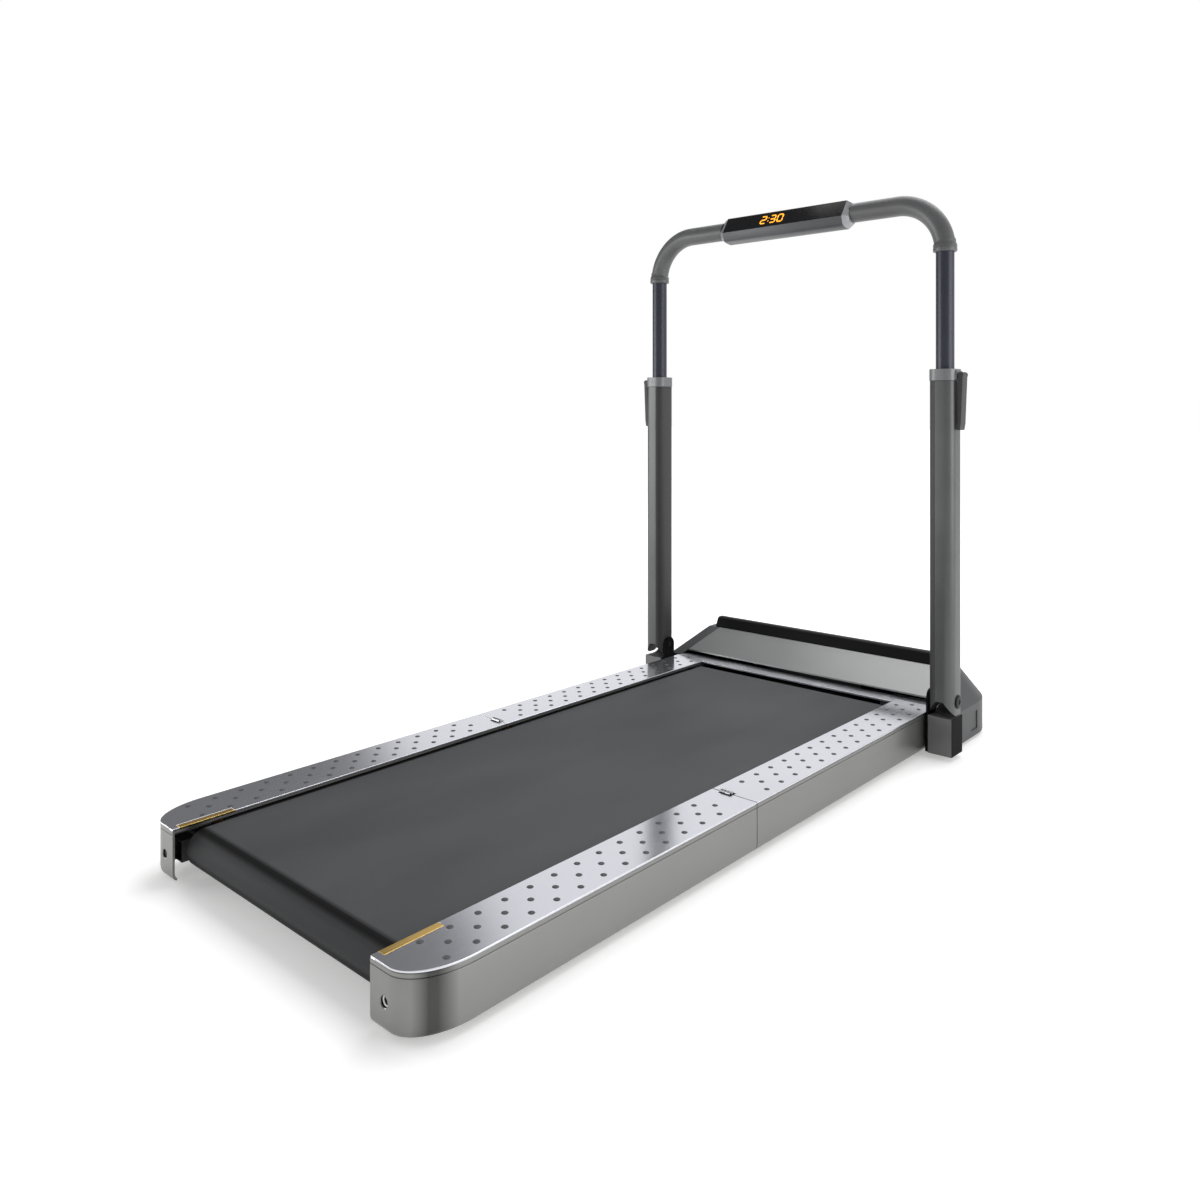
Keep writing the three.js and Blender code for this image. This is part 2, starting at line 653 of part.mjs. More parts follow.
// The cam lever: a round cam beside the collar's boss, and a blade that hangs along the upright.
function lever() {
  const cam = alongY(circle(LEVER_X, LEVER_Z, 5.5), POST_Y - 11, POST_Y + 11, 8);
  const blade = alongY(
    polygon(
      [LEVER_X - 4.5, LEVER_Z],
      [LEVER_X + 4.5, LEVER_Z],
      [LEVER_X + 1, 600],
      [LEVER_X - 1, 588],
      [LEVER_X - 5.5, 588],
      [LEVER_X - 5.5, 640],
    ),
    POST_Y - 11,
    POST_Y + 11,
  );
  return join(cam, blade);
}

// The centre line of the handlebar's right-hand bend, from its leg round to the crossbar.
class Bend extends THREE.Curve {
  getPoint(t, target = new THREE.Vector3()) {
    const angle = (t * Math.PI) / 2;
    return target.set(POST_X - BEND + BEND * Math.cos(angle), POST_Y, BAR_Z - BEND + BEND * Math.sin(angle));
  }
}

// Half of the handlebar's path as a round bar: a leg from `legZ`, the bend, and the crossbar to `barX`.
function barHalf(radius, legZ, barX) {
  const lap = 0.4;
  const leg = alongZ(circle(POST_X, POST_Y, radius), legZ, BAR_Z - BEND + lap, 9);
  const crossbar = alongX(circle(POST_Y, BAR_Z, radius), barX, POST_X - BEND + lap, 9);
  const options = { steps: 8, curveSegments: 9, bevelEnabled: false, extrudePath: new Bend() };
  return join(leg, new THREE.ExtrudeGeometry(circle(0, 0, radius), options), crossbar);
}

function handlebarTube() {
  const outer = barHalf(BAR_R, LEG_BOTTOM, -1);
  const bore = barHalf(BAR_R - 1.8, LEG_BOTTOM - 1, -1);
  return cut(join(outer, mirrored(outer)), bore, mirrored(bore));
}

// A moulded grip over the bend, flared at its lower end.
function grip() {
  const body = barHalf(GRIP_R, GRIP_BOTTOM, CONSOLE_HALF + GAP);
  const flare = alongZ(circle(POST_X, POST_Y, GRIP_R + 2.3), GRIP_BOTTOM, GRIP_BOTTOM + 14, 9);
  return cut(join(body, flare), barHalf(BAR_R + 0.6, GRIP_BOTTOM - 5, CONSOLE_HALF - 5));
}

addPair("post_bracket", postBracket(), "sideGrey");
addPair("post_pin", postPin(), "steel");
addPair("post", post(), "tubeGrey");
addPair("collar", collar(), "sideGrey");
addPair("lever", lever(), "darkGrey");
addPiece("handlebar_tube", handlebarTube(), "barDark");
addPair("grip", grip(), "gripGrey");

// ---- console ------------------------------------------------------------------------------------

// The sloping face runs from its lower edge to its upper edge; both are measured from the bar's centre.
const FACE_LOW = new THREE.Vector2(-28.5, -8);
const FACE_HIGH = new THREE.Vector2(-7, 25);
const FACE_LONG = FACE_HIGH.distanceTo(FACE_LOW);

// A flat strip that lies along the face: from `s0` to `s1` up it, and from `d0` to `d1` below it.
function faceStrip(s0, s1, d0, d1, half) {
  const along = FACE_HIGH.clone().sub(FACE_LOW).normalize();
  const inwards = new THREE.Vector2(along.y, -along.x);
  const corner = ([s, d]) => [
    POST_Y + FACE_LOW.x + s * along.x + d * inwards.x,
    BAR_Z + FACE_LOW.y + s * along.y + d * inwards.y,
  ];
  return alongX(polygon(...[[s0, d0], [s0, d1], [s1, d1], [s1, d0]].map(corner)), -half, half);
}

function consoleHousing() {
  const outline = [
    [FACE_LOW.x, FACE_LOW.y],
    [-23, -25.5],
    [2, -30],
    [18, -16],
    [22, 2],
    [14, 21],
    [FACE_HIGH.x, FACE_HIGH.y],
  ];
  const shape = polygon(...outline.map(([y, z]) => [POST_Y + y, BAR_Z + z]));
  const body = alongX(shape, -CONSOLE_HALF, CONSOLE_HALF);
  const bore = alongX(circle(POST_Y, BAR_Z, BAR_R + 0.6), -CONSOLE_HALF - 1, CONSOLE_HALF + 1, 9);
  const faceSeat = faceStrip(0.7, FACE_LONG - 0.7, -3, 2.3, FACE_HALF + GAP);
  const boardSeat = faceStrip(1.6, 8, 1, 4.8, BOARD_SEAT_HALF);
  return cut(body, bore, faceSeat, boardSeat);
}

addPiece("console_housing", consoleHousing(), "darkGrey");
addPiece("console_face", faceStrip(1, FACE_LONG - 1, 0, 2, FACE_HALF), "gloss");
addPiece("display_board", faceStrip(2, 7.6, 2.6, 4.4, BOARD_SEAT_HALF - 1), "green");

// ---- feet ---------------------------------------------------------------------------------------

function foot(y) {
  return alongZ(circle(245, y, 13), 0, TUBE_BOTTOM - GAP, 8);
}

addPair("foot_rear", foot(REAR_Y + 70), "rubber");
addPair("foot_middle", foot(SEAM_Y + 60), "rubber");

export default treadmill;
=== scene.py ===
import json
import math

import bmesh
import bpy
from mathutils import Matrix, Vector


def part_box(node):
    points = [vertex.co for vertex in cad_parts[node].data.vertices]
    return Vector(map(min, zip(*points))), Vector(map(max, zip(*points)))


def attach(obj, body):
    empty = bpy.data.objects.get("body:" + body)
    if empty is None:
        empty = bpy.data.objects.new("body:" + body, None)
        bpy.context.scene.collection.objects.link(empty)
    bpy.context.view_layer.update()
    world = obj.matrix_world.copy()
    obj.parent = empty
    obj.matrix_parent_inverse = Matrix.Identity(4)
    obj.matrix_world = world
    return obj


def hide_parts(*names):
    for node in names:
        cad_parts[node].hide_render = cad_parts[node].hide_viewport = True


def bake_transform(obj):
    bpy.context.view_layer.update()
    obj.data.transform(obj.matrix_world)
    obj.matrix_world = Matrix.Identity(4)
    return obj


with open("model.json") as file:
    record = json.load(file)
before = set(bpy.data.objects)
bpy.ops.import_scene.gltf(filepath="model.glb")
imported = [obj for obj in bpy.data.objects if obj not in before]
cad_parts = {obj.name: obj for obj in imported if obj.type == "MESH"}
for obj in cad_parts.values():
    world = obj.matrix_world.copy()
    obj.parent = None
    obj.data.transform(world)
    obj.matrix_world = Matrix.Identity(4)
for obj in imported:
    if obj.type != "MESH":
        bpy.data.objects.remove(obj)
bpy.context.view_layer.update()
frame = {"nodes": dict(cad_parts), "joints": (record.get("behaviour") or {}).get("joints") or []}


# ---- Camera ---------------------------------------------------------------------------------------
# A level camera a little above the walker's knee, off the right rear corner. It is shifted down
# instead of tilted, so the uprights stay parallel.

camera = bpy.data.objects.new("camera", bpy.data.cameras.new("camera"))
bpy.context.scene.collection.objects.link(camera)
camera.location = (1.0514, -1.2864, 0.6217)
camera.rotation_euler = (math.radians(90), 0, math.radians(42.087))
camera.data.sensor_width = 36
camera.data.lens = 29.459
camera.data.shift_y = -0.1574
camera.data.clip_start = 0.05
bpy.context.scene.camera = camera


# ---- Studio ---------------------------------------------------------------------------------------
# A pale seamless floor and a broad white panel behind the machine, with a black flag along its left
# edge, which the bright plates mirror. Soft boxes stand at the left, at the right and overhead.


class Wire:
    """One value in a material. An expression on it adds the Math nodes that work it out."""

    def __init__(self, tree, socket):
        self.tree = tree
        self.socket = socket

    def math(self, operation, *terms):
        node = self.tree.nodes.new("ShaderNodeMath")
        node.operation = operation
        for slot, term in zip(node.inputs, terms):
            if isinstance(term, Wire):
                self.tree.links.new(term.socket, slot)
            else:
                slot.default_value = term
        return Wire(self.tree, node.outputs[0])

    def __add__(self, other):
        return self.math("ADD", self, other)

    def __sub__(self, other):
        return self.math("SUBTRACT", self, other)

    def __rsub__(self, other):
        return self.math("SUBTRACT", other, self)

    def __mul__(self, other):
        return self.math("MULTIPLY", self, other)

    def __truediv__(self, other):
        return self.math("DIVIDE", self, other)

    def __abs__(self):
        return self.math("ABSOLUTE", self)

    def wave(self):
        return self.math("SINE", self)

    __radd__ = __add__
    __rmul__ = __mul__


class Finish:
    """A material, or the world, while its nodes are being put together."""

    def __init__(self, owner):
        owner.use_nodes = True
        self.owner = owner
        self.tree = owner.node_tree
        self.tree.nodes.clear()

    def node(self, kind, settings=None, values=None, output=0):
        made = self.tree.nodes.new(kind)
        for key, value in (settings or {}).items():
            if key == "stops":
                while len(made.color_ramp.elements) < len(value):
                    made.color_ramp.elements.new(1.0)
                for stop, (place, colour) in zip(made.color_ramp.elements, value):
                    stop.position = place
                    stop.color = colour
            else:
                setattr(made, key, value)
        for key, value in (values or {}).items():
            if isinstance(value, Wire):
                self.tree.links.new(value.socket, made.inputs[key])
            else:
                made.inputs[key].default_value = value
        return Wire(self.tree, made.outputs[output]) if made.outputs else None

    def place(self, stretch=(1, 1, 1)):
        here = self.node("ShaderNodeTexCoord", output="Object")
        return self.node("ShaderNodeMapping", values={"Vector": here, "Scale": stretch})

    def axis(self, letter):
        parts = self.node("ShaderNodeTexCoord", output="Object")
        return self.node("ShaderNodeSeparateXYZ", values={"Vector": parts}, output=letter)

    def grain(self, per_metre, detail=3.0, stretch=(1, 1, 1)):
        where = self.place(stretch)
        values = {"Vector": where, "Scale": per_metre, "Detail": detail}
        return self.node("ShaderNodeTexNoise", values=values)

    def ramp(self, value, low, high, to_low=0.0, to_high=1.0):
        values = {"Value": value, 1: low, 2: high, 3: to_low, 4: to_high}
        return self.node("ShaderNodeMapRange", {"clamp": True}, values)

    def mix(self, factor, first, second):
        return self.node("ShaderNodeMix", {"data_type": "RGBA"}, {0: factor, 6: first, 7: second}, output=2)

    def bump(self, height, depth, strength=1.0, under=None):
        values = {"Height": height, "Distance": depth, "Strength": strength}
        if under is not None:
            values["Normal"] = under
        return self.node("ShaderNodeBump", values=values)

    def surface(self, **values):
        values = {name.replace("_", " "): value for name, value in values.items()}
        shader = self.node("ShaderNodeBsdfPrincipled", values=values)
        self.node("ShaderNodeOutputMaterial", values={"Surface": shader})
        return self.owner


def srgb(red, green, blue):
    def linear(c):
        c /= 255
        return c / 12.92 if c <= 0.04045 else ((c + 0.055) / 1.055) ** 2.4

    return (linear(red), linear(green), linear(blue), 1.0)


def brighter(colour, times):
    return tuple(min(1.0, c * times) for c in colour[:3]) + (1.0,)


FLOOR_HALF = 30.0
NEAR_GLOW, FAR_GLOW, GLOW_START, GLOW_END = 0.4, 0.9, 1.2, 4.0


def floor_paint():
    paint = Finish(bpy.data.materials.new("floor_paint"))
    cloud = paint.ramp(paint.grain(3.0), 0.3, 0.7)
    colour = paint.mix(cloud, srgb(240, 240, 239), srgb(244, 244, 243))
    away = paint.node("ShaderNodeVectorMath", {"operation": "LENGTH"}, {0: paint.place()}, output=1)
    glow = paint.ramp(away, GLOW_START, GLOW_END, NEAR_GLOW, FAR_GLOW)
    lit = paint.mix(glow, (0.0, 0.0, 0.0, 1.0), colour)
    return paint.surface(
        Base_Color=colour, Roughness=0.8, Specular_IOR_Level=0.1, Emission_Color=lit, Emission_Strength=1.0
    )


floor_mesh = bpy.data.meshes.new("floor")
floor_corners = [(x * FLOOR_HALF, y * FLOOR_HALF, 0) for x, y in ((-1, -1), (1, -1), (1, 1), (-1, 1))]
floor_mesh.from_pydata(floor_corners, [], [(0, 1, 2, 3)])
floor = bpy.data.objects.new("floor", floor_mesh)
floor_mesh.materials.append(floor_paint())
bpy.context.scene.collection.objects.link(floor)

world = bpy.data.worlds.new("studio")
bpy.context.scene.world = world
air = Finish(world)
DIM_SIDE, BRIGHT_SIDE = (0.30, 0.30, 0.31, 1.0), (1.0, 1.0, 1.02, 1.0)
BLACK_FLAG = (0.16, 0.16, 0.165, 1.0)
PANEL_EDGE, PANEL_LEAN, PANEL_BLUR = 1.169, 0.678, 0.022
PANEL_START, START_BLUR = math.radians(-75), math.radians(15)
FLAG_START, FLAG_END, FLAG_BLUR = 0.6, math.radians(85), 0.1
heading = {"Vector": air.node("ShaderNodeTexCoord", output="Generated")}
leftward, forward, up = (air.node("ShaderNodeSeparateXYZ", values=heading, output=letter) for letter in "XYZ")
turn = air.node("ShaderNodeMath", {"operation": "ARCTAN2"}, {0: leftward * -1.0, 1: forward})
leaning = turn + up * PANEL_LEAN
behind = air.ramp(leaning, PANEL_EDGE + PANEL_BLUR, PANEL_EDGE - PANEL_BLUR)
flag = air.ramp(turn, FLAG_END + FLAG_BLUR, FLAG_END) * air.ramp(turn, FLAG_START, FLAG_START + FLAG_BLUR)
right_of = air.ramp(turn, PANEL_START, PANEL_START + START_BLUR)
panel = air.mix(behind * right_of, air.mix(flag, DIM_SIDE, BLACK_FLAG), BRIGHT_SIDE)
fill = air.node("ShaderNodeBackground", values={"Color": panel, "Strength": 1.0})
backdrop = air.node("ShaderNodeBackground", values={"Color": (1.0, 1.0, 1.0, 1.0), "Strength": 1.0})
seen = air.node("ShaderNodeLightPath", output="Is Camera Ray")
both = air.node("ShaderNodeMixShader", values={0: seen, 1: fill, 2: backdrop})
air.node("ShaderNodeOutputWorld", values={"Surface": both})


def soft_box(name, place, towards, wide, tall, watts):
    light = bpy.data.objects.new(name, bpy.data.lights.new(name, "AREA"))
    light.data.shape = "RECTANGLE"
    light.data.size = wide
    light.data.size_y = tall
    light.data.energy = watts
    light.location = place
    light.rotation_euler = (Vector(towards) - Vector(place)).to_track_quat("-Z", "Y").to_euler()
    bpy.context.scene.collection.objects.link(light)


soft_box("left_box", (-2.7, -2.1, 0.8), (0, -0.4, 0.2), 2.2, 1.3, 45)
soft_box("right_box", (3.0, 0.5, 0.9), (0, -0.2, 0.2), 2.0, 1.5, 32)
soft_box("top_box", (-0.2, 1.5, 3.3), (0, 0, 0), 3.2, 3.2, 70)
bpy.context.scene.view_settings.view_transform = "Standard"


# ---- Welded frames --------------------------------------------------------------------------------
# Each deck section stands on a welded frame of square steel tube and folded cross members, powder
# coated black. The fold hinge's knuckles are part of it, with a plain steel pin through each pair.


def coated(name, colour, roughness, metallic=0.0, grain=900.0, relief=0.00005, drift=0.12, shine=0.5):
    """Paint or moulded plastic: slow drift of tone, a fine skin of its own, uneven gloss."""
    paint = Finish(bpy.data.materials.new(name))
    slow = paint.ramp(paint.grain(9.0), 0.3, 0.7)
    fine = paint.grain(grain, 2.0)
    base = paint.mix(slow, brighter(colour, 1 - drift), brighter(colour, 1 + drift))
    gloss = roughness + (fine - 0.5) * 0.12 + (slow - 0.5) * 0.05
    skin_bump = paint.bump(fine, relief, 0.5)
    return paint.surface(
        Base_Color=base, Roughness=gloss, Metallic=metallic, Specular_IOR_Level=shine, Normal=skin_bump
    )


def brushed(name, colour, roughness, along=(0.02, 1, 1), tint=0.1):
    """Bare or anodised metal with fine brush lines that run along one axis."""
    metal = Finish(bpy.data.materials.new(name))
    lines = metal.grain(1400.0, 4.0, along)
    slow = metal.ramp(metal.grain(12.0), 0.3, 0.7)
    base = metal.mix(lines * 0.6 + slow * 0.4, brighter(colour, 1 - tint), brighter(colour, 1 + tint))
    gloss = roughness + (lines - 0.5) * 0.16 + (slow - 0.5) * 0.08
    relief = metal.bump(lines, 0.00004, 0.5)
    return metal.surface(Base_Color=base, Roughness=gloss, Metallic=1.0, Normal=relief)


def dress(node, material):
    """Gives a CAD node its material."""
    mesh = frame["nodes"][node].data
    mesh.materials.clear()
    mesh.materials.append(material)


def settled(piece):
    """Takes the piece's modifiers off and returns the mesh that they made."""
    done = bpy.data.meshes.new_from_object(piece.evaluated_get(bpy.context.evaluated_depsgraph_get()))
    piece.modifiers.clear()
    return done


def edged(piece, width, segments=3, angle=30):
    """Rounds a piece's hard edges and keeps the result."""
    rounding = piece.modifiers.new("edges", "BEVEL")
    rounding.width = width
    rounding.segments = segments
    rounding.limit_method = "ANGLE"
    rounding.angle_limit = math.radians(angle)
    rounding.use_clamp_overlap = True
    rounding.harden_normals = True
    square = piece.data
    piece.data = settled(piece)
    bpy.data.meshes.remove(square)
    return piece


MERGE_WITHIN, FLAT_WITHIN, SHARP_ANGLE = 2e-5, math.radians(1), math.radians(32)


def softened(node, name, material, width, segments=3, angle=30):
    """A copy of a CAD node with its loose triangles joined, flat faces whole and hard edges rounded."""
    work = bmesh.new()
    work.from_mesh(frame["nodes"][node].data)
    bmesh.ops.remove_doubles(work, verts=work.verts, dist=MERGE_WITHIN)
    bmesh.ops.dissolve_limit(work, angle_limit=FLAT_WITHIN, verts=work.verts, edges=work.edges)
    mesh = bpy.data.meshes.new(name)
    work.to_mesh(mesh)
    work.free()
    mesh.materials.clear()
    mesh.materials.append(material)
    piece = bpy.data.objects.new(name, mesh)
    bpy.context.scene.collection.objects.link(piece)
    mesh.shade_smooth()
    mesh.set_sharp_from_angle(angle=SHARP_ANGLE)
    return edged(piece, width, segments, angle)


def stands_for(piece, node, body):
    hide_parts(node)
    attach(piece, body)


def recast(node, name, material, slot, body, *rounding):
    """Puts a softened copy in a CAD node's place. The rounding is its width, segments and angle."""
    stands_for(softened(node, name, material, *rounding), node, body)


powder_black = coated("powder_black", srgb(38, 38, 39), 0.5, grain=1500.0, relief=0.00008)
bright_steel = brushed("bright_steel", srgb(196, 198, 200), 0.28)
KNUCKLE_FOOT = 0.068
for section in ("front", "rear"):
    welded = softened(f"frame_{section}", f"welded_frame_{section}", powder_black, 0.0005, 2)
    welded.data.materials.append(bright_steel)
    for face in welded.data.polygons:
        face.material_index = 1 if face.center.z > KNUCKLE_FOOT else 0
    stands_for(welded, f"frame_{section}", f"{section}_section")
for side in ("left", "right"):
    dress(f"hinge_pin_{side}", bright_steel)


# ---- Deck boards ----------------------------------------------------------------------------------
# The belt slides on boards of fibreboard, 15 mm thick, with a dark slippery film on both faces and
# raw brown edges. They are screwed down on the frames.


FILM_THICK, FILM_BLUR = 0.0009, 0.0003


def film_faced_board():
    board = Finish(bpy.data.materials.new("film_faced_board"))
    height = board.axis("Z")
    low, top = (corner.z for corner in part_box("deck_board_front"))
    film = board.ramp(height, top - FILM_THICK - FILM_BLUR, top - FILM_THICK)
    film += board.ramp(height, low + FILM_THICK + FILM_BLUR, low + FILM_THICK)
    fibres = board.grain(700.0, 6.0, (1, 1, 6))
    raw = board.mix(fibres, srgb(92, 68, 46), srgb(140, 108, 76))
    wax = board.mix(board.grain(60.0), srgb(26, 25, 25), srgb(40, 38, 37))
    colour = board.mix(film, raw, wax)
    relief = board.bump(fibres, 0.0001, 0.4)
    return board.surface(Base_Color=colour, Roughness=0.8 - film * 0.4, Normal=relief)


board_finish = film_faced_board()
dress("deck_board_front", board_finish)
dress("deck_board_rear", board_finish)


# ---- Rollers and axles ----------------------------------------------------------------------------
# Steel tube rollers with pressed-in end caps turn on fixed axles. The front one carries a grooved
# pulley for the drive belt at its left end.


def middle_of(node):
    low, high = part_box(node)
    return (low + high) / 2


def new_piece(name, vertices, faces, material, sharp=SHARP_ANGLE, doubles=1e-6):
    """A closed mesh with its doubles merged, its faces turned outwards and its hard edges kept."""
    work = bmesh.new()
    made = [work.verts.new(v) for v in vertices]
    for face in faces:
        if len(set(face)) > 2:
            try:
                work.faces.new([made[i] for i in face])
            except ValueError:
                pass
    bmesh.ops.remove_doubles(work, verts=work.verts, dist=doubles)
    bmesh.ops.dissolve_degenerate(work, edges=work.edges, dist=doubles)
    bmesh.ops.recalc_face_normals(work, faces=work.faces)
    mesh = bpy.data.meshes.new(name)
    work.to_mesh(mesh)
    work.free()
    mesh.shade_smooth()
    mesh.set_sharp_from_angle(angle=sharp)
    mesh.materials.append(material)
    piece = bpy.data.objects.new(name, mesh)
    bpy.context.scene.collection.objects.link(piece)
    return piece


def skin(rings, closed=True):
    """Vertices and faces through rings of as many points each. Closed joins the last to the first."""
    count = len(rings[0])
    faces = []
    for i in range(len(rings) if closed else len(rings) - 1):
        n = (i + 1) % len(rings)
        for k in range(count):
            m = (k + 1) % count
            faces.append((i * count + k, i * count + m, n * count + m, n * count + k))
    return [tuple(point) for ring in rings for point in ring], faces


def turned(name, profile, centre, material, steps=64, axis="X"):
    """A lathe-turned piece: the profile is a closed run of (along, radius) points about the axis."""
    rings = []
    for i in range(steps):
        turn = 2 * math.pi * i / steps
        ring = []
        for along, radius in profile:
            spot = [radius * math.cos(turn), radius * math.sin(turn)]
            spot.insert("XYZ".index(axis), along)
            ring.append([a + b for a, b in zip(spot, centre)])
        rings.append(ring)
    return new_piece(name, *skin(rings), material)


def both_ends(right, middle=()):
    """A profile made whole from its right half."""
    return right + list(middle) + [(-along, radius) for along, radius in reversed(right)]


def roller_profile(half, radius, bore):
    """A tube with a slight crown and a cap let into its end."""
    cap = radius - 0.0022
    right = [(half, bore), (half, bore + 0.003), (half - 0.0015, bore + 0.0035), (half - 0.0015, cap - 0.003)]
    right += [(half, cap - 0.0025), (half, cap), (half - 0.0004, cap + 0.0004)]
    right += [(half - 0.0004, radius - 0.0006), (half - 0.001, radius), (half * 0.5, radius + 0.00015)]
    return both_ends(right, [(0.0, radius + 0.0002)])


ROLLER_RADIUS, AXLE_RADIUS, AXLE_TIP, AXLE_CHAMFER, BEARING_GAP = 0.0229, 0.008, 0.0069, 0.0011, 0.0004
for section in ("front", "rear"):
    centre = middle_of(f"{section}_roller")
    profile = roller_profile(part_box(f"{section}_roller")[1].x, ROLLER_RADIUS, AXLE_RADIUS + BEARING_GAP)
    drum = turned(f"{section}_roller_drum", profile, (0, centre.y, centre.z), bright_steel, 96)
    stands_for(drum, f"{section}_roller", f"{section}_roller")
    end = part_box(f"{section}_roller_axle")[1].x
    profile = both_ends([(end, 0.0), (end, AXLE_TIP), (end - AXLE_CHAMFER, AXLE_RADIUS)])
    rod = turned(f"{section}_axle_rod", profile, (0, centre.y, centre.z), bright_steel, 40)
    stands_for(rod, f"{section}_roller_axle", f"{section}_section")

PULLEY_BORE, PULLEY_RIM, PULLEY_LIP = 0.0084, 0.0197, 0.0012
GROOVE_TOP, GROOVE_FLOOR, GROOVE_STEP = 0.0199, 0.0186, 0.00122
pulley_black = coated("pulley_black", srgb(34, 34, 35), 0.42, 0.3)
low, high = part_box("roller_pulley")
centre = middle_of("roller_pulley")
profile = [(low.x, PULLEY_BORE), (low.x, PULLEY_RIM)]
profile += [(low.x + PULLEY_LIP + GROOVE_STEP * i, (GROOVE_TOP, GROOVE_FLOOR)[i % 2]) for i in range(8)]
profile += [(high.x, PULLEY_RIM), (high.x, PULLEY_BORE)]
pulley = turned("grooved_pulley", profile, (0, centre.y, centre.z), pulley_black, 72)
stands_for(pulley, "roller_pulley", "front_roller")


# ---- Walking belt ---------------------------------------------------------------------------------
# An endless belt, 1.6 mm thick: black PVC with a fine diamond tread outside and a woven back inside.
# It crosses the fold in one piece.


BELT_THICK, BELT_ROUND, TREAD_PITCH = 0.0016, 0.0003, 0.0042
belt_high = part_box("walking_belt_front")[1]
rear_y, front_y = middle_of("rear_roller").y, middle_of("front_roller").y
roller_z = middle_of("rear_roller").z


def joint_spot(name):
    return next(joint for joint in frame["joints"] if joint["name"] == name)["pos_m"]


def belt_rubber():
    """PVC greyed by wear. Round the rear roller it is painted near-black as painted shade, with one lighter band
    at mid height as painted light.
    """
    belt = Finish(bpy.data.materials.new("belt_rubber"))
    across, along, height = belt.axis("X"), belt.axis("Y"), belt.axis("Z")
    pitch = 2 * math.pi / TREAD_PITCH
    one = ((across + along * 0.55) * pitch).wave()
    two = ((across - along * 0.55) * pitch).wave()
    tread = belt.ramp(one * two, -0.2, 0.5)
    slow = belt.ramp(belt.grain(5.0, 2.0, (1.5, 0.6, 1)), 0.3, 0.7)
    fine = belt.grain(1100.0, 4.0)
    worn = belt.mix(slow, srgb(70, 72, 73), srgb(81, 82, 83))
    colour = belt.mix(tread * 0.25, worn, srgb(54, 55, 58))
    # Painted shade round the rear roller, with a painted light band at mid height.
    rear_turn_painted_shade = belt.ramp(along, rear_y + 0.004, rear_y - 0.003)
    mid_height_painted_light = belt.ramp(height, 0.036, 0.042) * belt.ramp(height, 0.0675, 0.0645)
    colour = belt.mix(rear_turn_painted_shade, colour, belt.mix(mid_height_painted_light, srgb(10, 10, 11), srgb(54, 55, 56)))
    relief = belt.bump(tread, 0.00016, 0.35, belt.bump(fine, 0.00008, 0.4))
    gloss = 0.62 + (fine - 0.5) * 0.2
    return belt.surface(Base_Color=colour, Roughness=gloss, Normal=relief, Specular_IOR_Level=0.15)


def belt_path(rear, front, fold, height, centre_z):
    """Points (y, z, outward y, outward z) round the loop, close together at the fold."""
    straight_steps, turn_steps, reach = 14, 28, 0.016
    radius = height - centre_z
    top = [rear + (fold - reach - rear) * i / straight_steps for i in range(straight_steps + 1)]
    top += [fold - 0.015 + 0.001 * i for i in range(31)]
    top += [fold + reach + (front - fold - reach) * i / straight_steps for i in range(straight_steps + 1)]

    def half_turn(y, start):
        turns = [start - math.pi * i / turn_steps for i in range(1, turn_steps)]
        outwards = [(math.cos(turn), math.sin(turn)) for turn in turns]
        return [(y + radius * c, centre_z + radius * s, c, s) for c, s in outwards]

    upper = [(y, height, 0, 1) for y in top]
    lower = [(y, 2 * centre_z - height, 0, -1) for y in reversed(top)]
    return upper + half_turn(front, math.pi / 2) + lower + half_turn(rear, -math.pi / 2)


fold_y = joint_spot("deck_fold")[1]
half = belt_high.x
outside = [(-half + BELT_ROUND, 0), (-half * 0.5, 0), (0, 0), (half * 0.5, 0), (half - BELT_ROUND, 0)]
section = [(-half, BELT_THICK - BELT_ROUND), (-half, BELT_ROUND)] + outside
section += [(half, BELT_ROUND), (half, BELT_THICK - BELT_ROUND)]
section += [(x, BELT_THICK) for x, _ in reversed(outside)]
path = belt_path(rear_y, front_y, fold_y, belt_high.z, roller_z)
rings = [[(x, y - out_y * deep, z - out_z * deep) for x, deep in section] for y, z, out_y, out_z in path]
belt = new_piece("walking_belt", *skin(rings), belt_rubber())
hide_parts("walking_belt_front", "walking_belt_rear")
fold_y - 0.014
fold_y + 0.014
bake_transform(belt)


# ---- Side rails -----------------------------------------------------------------------------------
# Long side mouldings in satin grey metallic paint, in two lengths that meet at the fold. The rear
# ones wrap round the corner and end in a flat face with a round hole for the belt's tension bolt.


CORNER_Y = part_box("side_rail_rear_right")[0].y + 0.010


def rail_paint():
    """Satin metallic lacquer, lighter at the rear end and darker towards the front as painted light, with a
    painted shade band where it goes round the rear corner.
    """
    paint = Finish(bpy.data.materials.new("rail_paint"))
    along = paint.axis("Y")
    slow = paint.ramp(paint.grain(6.0), 0.3, 0.7)
    flake = paint.grain(2600.0, 1.0)
    # Painted light: lighter at the rear end, fading darker towards the front.
    base = paint.mix(paint.ramp(along, -0.7, 0.5), srgb(133, 133, 131), srgb(110, 110, 109))
    # Painted shade: a dark band where the rail goes round the rear corner.
    corner = paint.ramp(along, CORNER_Y, CORNER_Y + 0.014) * paint.ramp(along, CORNER_Y + 0.044, CORNER_Y + 0.022)
    base = paint.mix(corner, base, srgb(38, 38, 38))
    base = paint.mix(flake * 0.22 + slow * 0.1, base, srgb(152, 152, 149))
    gloss = 0.34 + (flake - 0.5) * 0.15 + (slow - 0.5) * 0.05
    relief = paint.bump(flake, 0.00003, 0.3)
    return paint.surface(Base_Color=base, Roughness=gloss, Metallic=0.7, Normal=relief)


RAIL_WALL = 0.003
CORNER_WIDE, CORNER_LONG = 0.046, 0.075
rail_low, rail_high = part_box("side_rail_rear_right")
front_low, front_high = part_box("side_rail_front_right")
plate_low, plate_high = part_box("foot_plate_rear_right")


